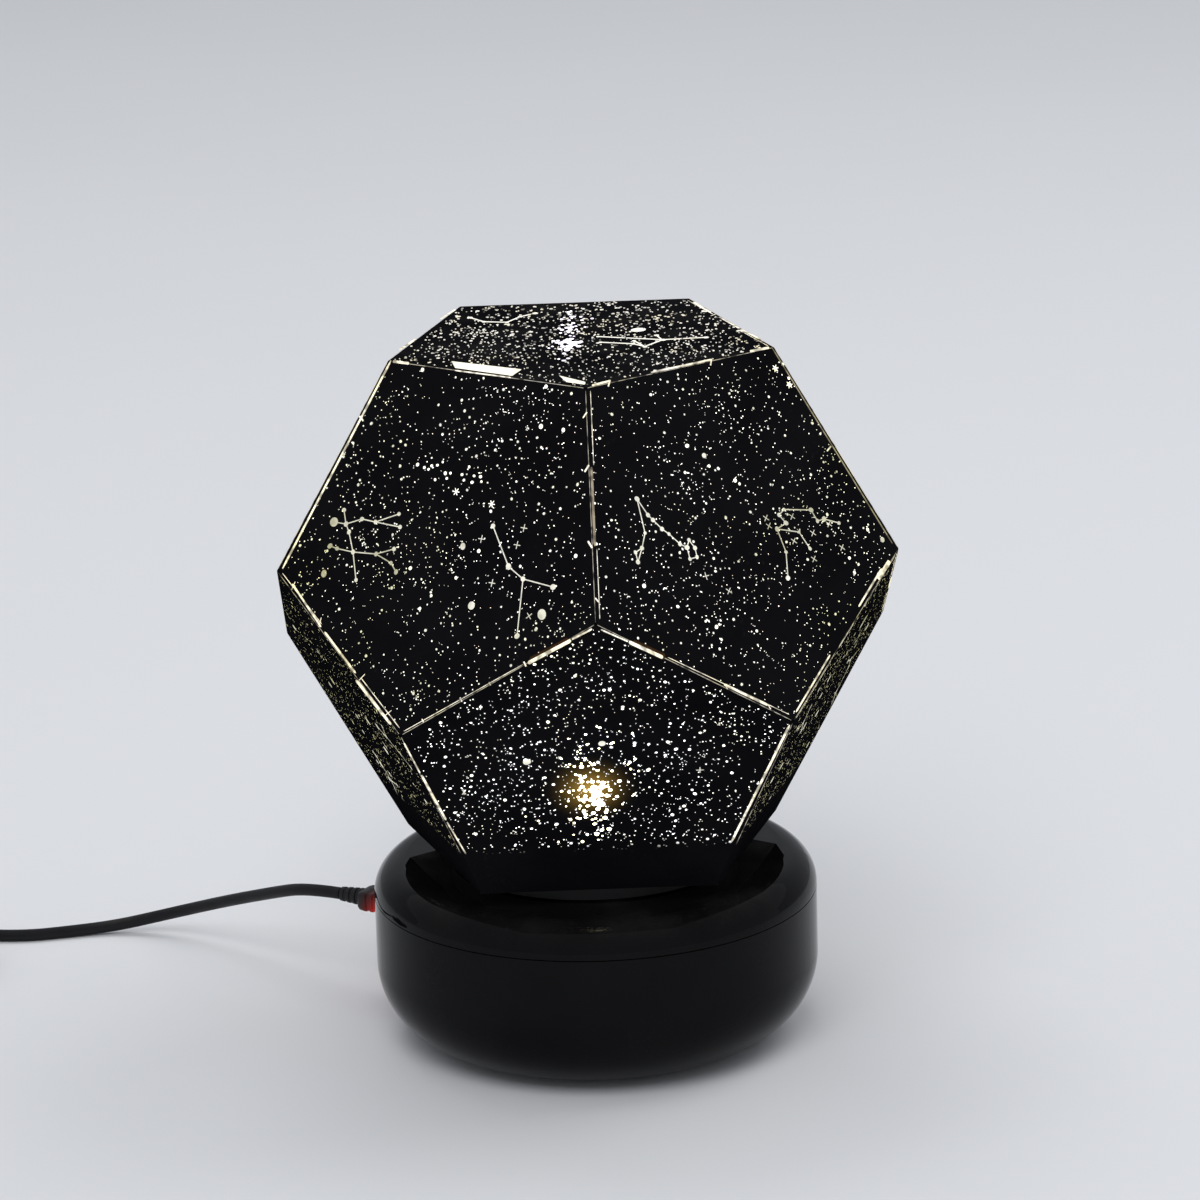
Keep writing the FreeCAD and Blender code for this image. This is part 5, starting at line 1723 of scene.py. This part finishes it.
DRAWINGS: dict[str, Drawing] = {
    "upper_5": Drawing(
        lines=(
            ((344, 510), (346, 524), (349, 532), (353, 552), (356, 580)),
            ((334, 522), (346, 524), (362, 519), (375.5, 522), (399, 514)),
            ((375.5, 522), (400, 527)),
            ((330, 546), (337, 548.5), (353, 552), (376, 554), (394, 549)),
            ((376, 554), (391, 563), (396, 572)),
            ((493, 526), (508.5, 566.5), (523, 579), (553, 587)),
            ((523, 579), (517, 636)),
        ),
        dots=(
            ((334, 522), 4.8), ((541.8, 614.5), 4.9), ((471.4, 605.6), 4), ((462.8, 546.3), 3),
            ((478.8, 551), 2), ((323.9, 573.6), 3.2), ((410.3, 568.2), 1.9), ((540.9, 426.4), 2.3),
            ((419.7, 608.6), 1.7), ((456, 577.8), 1.6), ((575.7, 555.9), 1.9), ((546, 386.5), 1.9),
            ((422.5, 369.8), 1.9), ((563.3, 430), 1.9), ((417.6, 464.6), 1.7), ((424.4, 467.5), 1.6),
            ((431.7, 465.8), 1.5), ((437.4, 465.2), 1.3), ((428.5, 469.3), 1.3), ((445.3, 473.3), 1.7),
            ((450.5, 473.1), 1.4), ((446.8, 478.4), 1.4), ((435.1, 479.7), 1.3), ((462, 474.6), 1.5),
            ((463.9, 480.1), 1.4), ((472, 482.3), 1.6), ((474.1, 475.9), 1.3), ((480.5, 476.7), 1.6),
            ((481.4, 481.6), 1.3), ((469.2, 466.9), 1.3), ((442.8, 462), 1.2), ((508.5, 566.5), 3.0),
            ((553, 587), 3.0), ((523, 579), 2.6), ((517, 636), 2.8), ((493, 526), 2.6),
        ),
        marks=(
            ((481.5, 539), PLUS), ((524, 528), PLUS), ((517, 545), PLUS), ((492, 583), PLUS),
            ((529, 616), CROSS), ((456.2, 491.7), SIX_POINTS), ((491.6, 504), SIX_POINTS),
        ),
    ),
    "upper_1": Drawing(
        lines=(
            ((637, 499), (645, 533), (642, 548), (635.5, 552.5), (638, 562), (642, 548)),
            ((637, 499), (648, 515), (653, 520), (662, 529), (669, 534), (680, 544), (687, 547.5),
             (689, 540), (695, 548), (697, 557), (690, 559), (687, 547.5)),
            ((839, 523), (824, 519), (817.5, 521), (811, 510), (784, 509.5), (779, 515), (786, 523),
             (777, 529), (799, 532), (810, 548.5)),
            ((777, 529), (786, 552), (788, 578)),
        ),
        dots=(
            ((704.1, 455.5), 2.6), ((709.2, 466.1), 1.6), ((718.3, 468.5), 1.5), ((685.1, 472.5), 1.6),
            ((735.1, 480.5), 2), ((687.1, 445.8), 2), ((716.5, 626.9), 2), ((644.1, 585.9), 2.2),
            ((677.8, 606.6), 1.6), ((882.4, 539.6), 2.5), ((867.6, 529.5), 1.6), ((854.5, 572.5), 1.6),
            ((849.4, 558), 1.6), ((637, 499), 2.6), ((788, 578), 2.4), ((782.8, 364.2), 1.5),
            ((788.8, 378.2), 1.5), ((775.4, 368.3), 2.0), ((789.4, 384.8), 2.0),
        ),
        marks=(
            ((706, 576), PLUS), ((729, 591), CROSS), ((766, 518), CROSS), ((769, 526), CROSS),
            ((792, 516.5), CROSS), ((813, 533), CROSS), ((794, 541), CROSS), ((814, 559), CROSS),
            ((829, 524), CROSS), ((842, 547.5), CROSS), ((775.4, 368.3), SIX_POINTS),
            ((789.4, 384.8), SIX_POINTS),
        ),
    ),
    "lower_1": Drawing(
        dots=(
            ((602, 743.5), 3.6), ((526.9, 761.9), 4.0), ((505, 800), 1.8), ((668, 742), 1.8),
            ((684, 806), 1.7), ((548, 722), 1.8), ((640, 700), 1.8), ((560, 690), 1.6),
            ((648, 770), 1.9), ((575, 676), 1.6),
        ),
        marks=(((464, 792), (90, 60, 120)), ((700, 770), PLUS)),
    ),
    "top": Drawing(
        lines=(
            ((598, 336.8), (663, 339.9), (705.9, 337.6)),
            ((600.6, 342.5), (633, 344), (644.8, 346.7), (663, 339.9)),
            ((656.5, 335.5), (662, 340)),
            ((634, 341), (645, 347)),
            ((470.6, 318.1), (484, 322), (507, 322.5), (520, 317), (535.6, 313.4)),
        ),
        dots=(
            ((638.3, 330), 6.5), ((470, 318), 2.4), ((535.6, 313.4), 2.2), ((663, 340), 3.0),
            ((706, 337.6), 2.6),
        ),
    ),
}


# ---------------------------------------------------------------- the light at the seams


class LeakKind(Enum):
    """The pieces that the leaks of light go to."""

    BRIGHT = "seam_leaks"
    DIM = "dim_leaks"
    GLOW = "seam_glow"


@dataclass(frozen=True)
class Leak:
    """A leak of light drawn on a face between two places of the picture."""

    face: str
    start: Pixel
    end: Pixel
    width_mm: float
    kind: LeakKind = LeakKind.BRIGHT


LEAKS: tuple[Leak, ...] = (
    Leak("upper_1", (590.4, 391), (593.6, 465), 0.17),
    Leak("upper_1", (591.4, 467), (594.8, 546), 0.75, LeakKind.DIM),
    Leak("upper_1", (596.8, 549), (599.8, 619), 0.17),
    Leak("upper_5", (587.0, 412), (583.0, 418), 0.4),
    Leak("upper_5", (589.0, 465), (584.6, 472), 0.5),
    Leak("upper_5", (592.2, 548), (588.0, 541), 0.5),
    Leak("upper_1", (595.2, 598), (599.6, 603), 0.4),
    Leak("upper_5", (404, 731.2), (523, 664.4), 0.17),
    Leak("upper_5", (528, 663.2), (571, 640.4), 1.0),
    Leak("upper_5", (572, 639.4), (592, 629), 0.5),
    Leak("upper_5", (423.5, 722.2), (422, 719), 0.3),
    Leak("upper_5", (462, 701.6), (460, 697.4), 0.35),
    Leak("upper_5", (490.6, 685.4), (489, 682.2), 0.3),
    Leak("upper_5", (526, 666.4), (523.8, 661.6), 0.4),
    Leak("upper_5", (530, 660.8), (569, 640.2), 1.8, LeakKind.GLOW),
    Leak("upper_1", (633, 642.4), (665, 657.2), 1.8, LeakKind.GLOW),
    Leak("upper_1", (601, 629.6), (628, 641.6), 0.4),
    Leak("upper_1", (629, 642), (663, 657.6), 1.0),
    Leak("upper_1", (668, 657.4), (789, 714.4), 0.17),
    Leak("upper_1", (724, 684.4), (768, 705.2), 0.7),
    Leak("upper_1", (727.5, 689.0), (725, 684.6), 0.3),
    Leak("upper_1", (770.7, 709.2), (768, 704.6), 0.3),
    Leak("lower_1", (404, 743), (420, 773), 0.4),
    Leak("lower_1", (421.5, 775), (446, 820), 0.6),
    Leak("lower_1", (447, 822), (466, 854), 0.4),
    Leak("lower_1", (789.6, 725), (731.4, 842), 0.65),
    Leak("upper_5", (391.0, 360.6), (282.6, 568.5), 0.6),
    Leak("upper_5", (359.4, 416), (363.4, 421), 0.5),
    Leak("upper_5", (292.5, 584), (321, 627), 0.5),
    Leak("upper_5", (356, 680), (391, 724.6), 0.7),
    Leak("upper_1", (772.0, 347.6), (892.3, 543.4), 0.35, LeakKind.DIM),
    Leak("upper_1", (831, 446), (827, 451), 0.4),
    Leak("upper_1", (881.6, 568.6), (858.7, 606.6), 0.5),
    Leak("upper_1", (889.4, 561), (878.0, 579), 1.1),
    Leak("upper_1", (830, 655), (796, 712), 0.45),
    Leak("upper_1", (592, 385.4), (610.7, 380.6), 0.5),
    Leak("upper_1", (610, 380.6), (608.2, 386.5), 0.4),
    Leak("upper_1", (651, 372.4), (711.9, 359.4), 0.45),
    Leak("upper_1", (711.4, 359), (710.5, 365.4), 0.4),
    Leak("upper_1", (750, 351.2), (769, 347.6), 0.6),
    Leak("upper_5", (393, 361.4), (409, 363.4), 0.7),
    Leak("upper_5", (455, 370.4), (511, 377.6), 0.35),
    Leak("top", (441.0, 318.9), (455.2, 309.6), 0.7),
    Leak("top", (399.6, 349.8), (415.6, 339.2), 0.7),
    Leak("top", (693.6, 302.0), (710.8, 312.6), 0.7),
    Leak("top", (740.4, 329.0), (760.0, 339.2), 0.7),
)

DRAWN_SEAMS = ("top_1", "top_5", "upper_1", "belt_left_1", "belt_right_5", "lower_1", "lower_5")
LEAK_FINISHES = {
    LeakKind.BRIGHT: seam_windows, LeakKind.DIM: dim_seam_windows, LeakKind.GLOW: glow_windows,
}
OPENINGS: tuple[tuple[Pixel, ...], ...] = (
    ((451.7, 361.2), (521, 369.2), (511.5, 375.4), (455, 367.6)),
    ((559, 375.4), (585, 381.8), (584, 384.2), (566, 381.6)),
)


@dataclass
class SeamLights:
    """The light that leaks between the panels and past their glued tabs."""

    shape: LanternShape
    view: Viewpoint
    templates: Templates = field(default_factory=Templates)
    slit_mm: float = 0.14
    slit_depth_mm: float = 0.6
    proud_mm: float = -0.05
    thin_mm: float = 0.20
    setback_mm: float = 1.2
    tab_shares: tuple[float, ...] = (0.12, 0.345, 0.67, 0.88)
    rise_mm: float = 0.06
    glow_rise: float = 0.5
    slit_ends: tuple[float, float] = (0.012, 0.988)
    line_ends: tuple[float, float] = (0.03, 0.97)
    end_setback: float = 0.8
    tick_start_mm: float = 0.15
    tick_lean: float = 0.03
    tick_mm: tuple[float, float] = (1.6, 2.6)
    gap_shares: tuple[tuple[float, float], ...] = ((0.36, 0.44), (0.56, 0.66))
    gap_setback_mm: float = 0.55
    gap_width_mm: tuple[float, float] = (0.5, 1.0)
    lift_mm: float = 1.6
    lift_back_mm: float = 1.2
    opening_depth_mm: float = 0.25

    def slit(self, seam: Seam) -> Matrix:
        """The place of the light in a seam's gap, a little short of its ends.

        Args:
            seam: The seam.

        Returns:
            Its place.
        """
        along = seam.end - seam.start
        outward_way = (seam.faces[0].normal + seam.faces[1].normal).normalized()
        aside = outward_way.cross(along).normalized()
        low, high = self.slit_ends
        depth = self.slit_depth_mm
        middle = seam.start + along * (low + high) / 2 + outward_way * (self.proud_mm - depth / 2) * MM
        return framed(along * (high - low), aside * self.slit_mm * MM, outward_way * depth * MM, middle)

    def second_line(self, seam: Seam, rng: random.Random) -> list[Matrix]:
        """The thin line beside a seam, its ticks at the tabs and the wide leak between them.

        Args:
            seam: The seam.
            rng: The seeded draws.

        Returns:
            Their places.
        """
        face = seam.faces[rng.randint(0, 1)]
        inward = face.inward(seam.start, seam.end)
        thin, rise = self.thin_mm * MM, self.rise_mm * MM
        places = []

        def beside(share: float, setback_mm: float) -> Vector:
            """A point at a share of the seam, set back from it."""
            return seam.start + (seam.end - seam.start) * share + inward * setback_mm * MM

        first, last = self.line_ends
        for low, high in ((first, self.tab_shares[1]), (self.tab_shares[2], last)):
            start, end = beside(low, self.setback_mm * self.end_setback), beside(high, self.setback_mm)
            places.append(face.bar(start, end, thin, rise))
        for share in self.tab_shares:
            start = beside(share, self.tick_start_mm)
            lean = rng.uniform(-self.tick_lean, self.tick_lean)
            places.append(face.bar(start, beside(share + lean, rng.uniform(*self.tick_mm)), thin, rise))
        low, high = (rng.uniform(*shares) for shares in self.gap_shares)
        start, end = beside(low, self.gap_setback_mm), beside(high, self.gap_setback_mm)
        places.append(face.bar(start, end, rng.uniform(*self.gap_width_mm) * MM, rise))
        return places

    def lifted_edge(self) -> bpy.types.Object:
        """The two bright openings where the top panel's edge stands off its seam.

        Returns:
            The piece.
        """
        seam = [s for s in self.shape.seams if s.name == "top_5"][0]
        back = (self.shape.faces["top"].middle - (seam.start + seam.end) / 2).normalized()
        raised = mm(0, 0, self.lift_mm) + back * self.lift_back_mm * MM
        opening = Face("opening", [seam.start, seam.end, seam.end + raised, seam.start + raised])
        points: list[Vector] = []
        polygons: list[tuple[int, ...]] = []
        for outline in OPENINGS:
            shift = len(points)
            front = [self.view.onto(pixel, opening) for pixel in outline]
            points += front + [point - opening.normal * self.opening_depth_mm * MM for point in front]
            sides = [(i, i + 4, (i + 1) % 4 + 4, (i + 1) % 4) for i in range(4)]
            for corners in ((0, 1, 2, 3), (7, 6, 5, 4), *sides):
                polygons.append(tuple(shift + corner for corner in corners))
        piece = meshed("lifted_edge_light", points, polygons)
        outward(piece)
        return piece

    def build(self) -> None:
        """Makes the light of every seam."""
        stroke = self.templates.stroke()
        rng = random.Random("seams")
        slits: list[Matrix] = []
        places: dict[LeakKind, list[Matrix]] = {kind: [] for kind in LeakKind}
        for seam in self.shape.seams:
            slits.append(self.slit(seam))
            if seam.name not in DRAWN_SEAMS:
                places[LeakKind.BRIGHT] += self.second_line(seam, rng)
        for leak in LEAKS:
            face = self.shape.faces[leak.face]
            start, end = (self.view.onto(pixel, face) for pixel in (leak.start, leak.end))
            rise = self.rise_mm * MM * (self.glow_rise if leak.kind is LeakKind.GLOW else 1.0)
            places[leak.kind].append(face.bar(start, end, leak.width_mm * MM, rise))
        printed(stroke, "seam_slits", slits, slit_light)
        for kind, finish in LEAK_FINISHES.items():
            printed(stroke, kind.value, places[kind], finish)
        dress(self.lifted_edge(), "lifted_edge_light", Body.LANTERN, leak_windows)
        self.templates.clear(stroke)


# ---------------------------------------------------------------- the signs on the buttons


@dataclass(frozen=True)
class ButtonSign:
    """A pale sign printed on a push button, drawn as an arc and short bars, in millimetres and degrees."""

    node: str
    body: Body
    heading: float
    arc: tuple[float, float]
    bars: tuple[tuple[Pixel, Pixel], ...]
    radius_mm: float = 1.45
    line_mm: float = 0.28
    rise_mm: float = 0.05
    chords: int = 18
    overlap: float = 1.1

    def front(self) -> Face:
        """The button's flat front as a face.

        Returns:
            The face, a square about the front's middle.
        """
        button = frame["nodes"][self.node]
        points = [button.matrix_world @ vertex.co for vertex in button.data.vertices]
        turn = math.radians(self.heading)
        ahead = Vector((math.cos(turn), math.sin(turn), 0))
        aside = Vector((-math.sin(turn), math.cos(turn), 0))
        heights = [point.z for point in points]
        height = Vector((0, 0, (min(heights) + max(heights)) / 2))
        middle = ahead * max(point.dot(ahead) for point in points) + height
        half = self.radius_mm * MM
        square = ((-1, -1), (1, -1), (1, 1), (-1, 1))
        corners = [middle + aside * x * half + Vector((0, 0, z * half)) for x, z in square]
        return Face(f"{self.node}_front", corners)

    def build(self, stroke: bpy.types.Object) -> None:
        """Prints the sign.

        Args:
            stroke: The shape of a line.
        """
        face = self.front()
        start, end = (math.radians(angle) for angle in self.arc)
        turns = [start + (end - start) * k / self.chords for k in range(self.chords + 1)]
        path = [(self.radius_mm * math.cos(turn), self.radius_mm * math.sin(turn)) for turn in turns]
        places = []
        for first, last in (*zip(path, path[1:]), *self.bars):
            ends = [face.at(x * MM, y * MM) for x, y in (first, last)]
            places.append(face.bar(*ends, self.line_mm * MM, self.rise_mm * MM, stretch=self.overlap))
        printed(stroke, f"{self.node}_sign", places, printed_sign, self.body)


BUTTON_SIGNS = (
    ButtonSign("power_button", Body.POWER_KEY, 118.0, (-235.0, 55.0), (((0, 0.45), (0, 1.95)),)),
    ButtonSign(
        "rotation_button", Body.ROTATION_KEY, 100.0, (-220.0, 60.0),
        (((0.725, 1.256), (0.05, 1.55)), ((0.725, 1.256), (0.62, 0.55))),
    ),
)


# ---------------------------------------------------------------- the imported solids' finishes


@dataclass
class PackedSolids:
    """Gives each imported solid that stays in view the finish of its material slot."""

    view: Viewpoint
    shape: LanternShape

    def build(self) -> None:
        """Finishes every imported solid."""
        finishes = {finish.name: finish for finish in PACKED_FINISHES}
        middle = self.view.onto(LAMP_SPOT_MIDDLE, self.shape.faces["lower_1"])
        for part in frame["record"]["subparts"]:
            piece = frame["nodes"][part["node"]]
            finish = finishes[part["material_slot"]]
            number = int(part["node"][-1]) if part["node"].startswith("star_panel_lower") else 0
            # Lower panels 1, 3 and 4 get a painted glow: orange emission on the film about the lamp spot's
            # middle, standing in for the lamp's light seen through the film.
            if number in LAMP_SPOT_FACES:
                finish = PaintedGlowFinish(
                    f"star_film_bright_{number}", **STAR_FILM, middle=tuple(round_lantern(number) @ middle),
                    reach=0.0140, tint=(1.0, 0.60, 0.10), strength=0.55,
                )
            piece.data.materials.clear()
            piece.data.materials.append(finish.material())


# ---------------------------------------------------------------- the studio


@dataclass(frozen=True)
class Studio:
    """A plain pale sweep and soft light."""

    depth: float = 4.0
    width: float = 30.0
    front: float = -4.0
    height: float = 3.0
    bend: float = 0.6
    bend_steps: int = 12
    pale: Colour = (0.70, 0.71, 0.73)
    shade: float = 0.97
    mottle_scale: float = 3.0
    roughness: float = 0.85
    specular: float = 0.15
    aim: tuple[float, float, float] = (0, 0, 0.1)
    lamp_side: float = 1.2
    lamps: tuple[tuple[str, tuple[float, float, float], float], ...] = (
        ("key_light", (-0.3, -1.5, 1.8), 20.0),
        ("fill_light", (1.2, 0.5, 1.6), 9.0),
        ("back_light", (-0.4, 0.9, 2.0), 9.0),
    )
    air: Colour = (0.86, 0.88, 0.92)
    air_strength: float = 0.62

    def sweep(self) -> None:
        """The floor, rising behind as one curved sheet."""
        deselect_all()
        bpy.ops.mesh.primitive_plane_add(size=1.0)
        piece = bpy.context.object
        piece.name = "studio_sweep"
        piece.scale = (self.width, self.depth - self.front, 1.0)
        piece.location = (0.0, (self.depth + self.front) / 2, 0.0)
        settle(piece)
        for vertex in piece.data.vertices:
            vertex.select = False
        for face in piece.data.polygons:
            face.select = False
        for edge in piece.data.edges:
            edge.select = all(piece.data.vertices[i].co.y > 0 for i in edge.vertices)
        take(piece)
        bpy.ops.object.mode_set(mode="EDIT")
        bpy.ops.mesh.select_mode(type="EDGE")
        bpy.ops.mesh.extrude_region_move(TRANSFORM_OT_translate={"value": (0, 0, self.height)})
        bpy.ops.object.mode_set(mode="OBJECT")
        bevel = piece.modifiers.new("bend", "BEVEL")
        bevel.width = self.bend
        bevel.segments = self.bend_steps
        bpy.ops.object.modifier_apply(modifier="bend")
        bpy.ops.object.shade_smooth()
        piece.data.materials.append(self.paper())

    def paper(self) -> bpy.types.Material:
        """The sweep's pale paper.

        Returns:
            The material.
        """
        material = bpy.data.materials.new("studio_paper")
        material.use_nodes = True
        w = Wiring(material.node_tree)
        shader = material.node_tree.nodes["Principled BSDF"]
        place = w.add("ShaderNodeTexCoord")
        mottle = w.noise(place.outputs["Object"], self.mottle_scale, 2.0)
        shaded = tuple(value * self.shade for value in self.pale)
        w.fill(shader, {
            "Base Color": w.mix(mottle, self.pale, shaded),
            "Roughness": self.roughness,
            "Specular IOR Level": self.specular,
        })
        return material

    def lamp(self, name: str, place: Vector, power: float) -> None:
        """One soft light that glossy surfaces don't mirror.

        Args:
            name: Its name.
            place: Where it stands.
            power: Its power in watts.
        """
        light = bpy.data.lights.new(name, "AREA")
        light.size = self.lamp_side
        light.energy = power
        lamp = linked(name, light)
        lamp.visible_glossy = False
        turn = (Vector(self.aim) - place).to_track_quat("-Z", "Y")
        lamp.matrix_world = Matrix.Translation(place) @ turn.to_matrix().to_4x4()

    def build(self) -> None:
        """Sets up the sweep, the lights and the world."""
        self.sweep()
        for name, place, power in self.lamps:
            self.lamp(name, Vector(place), power)
        world = bpy.data.worlds.new("studio_air")
        bpy.context.scene.world = world
        world.use_nodes = True
        air = world.node_tree.nodes["Background"]
        air.inputs["Color"].default_value = (*self.air, 1.0)
        air.inputs["Strength"].default_value = self.air_strength
        bpy.context.scene.view_settings.view_transform = "Standard"


def main() -> None:
    """Builds the scene, piece by piece."""
    logging.basicConfig(level=logging.INFO, format="%(message)s")
    view = Viewpoint()
    view.camera()
    ChargingLead().build()
    shape = LanternShape()
    PackedSolids(view, shape).build()
    StarField(shape, view).build()
    SeamLights(shape, view).build()
    stroke = Templates().stroke()
    for sign in BUTTON_SIGNS:
        sign.build(stroke)
    Templates().clear(stroke)
    Studio().build()


if __name__ == "__main__":
    main()
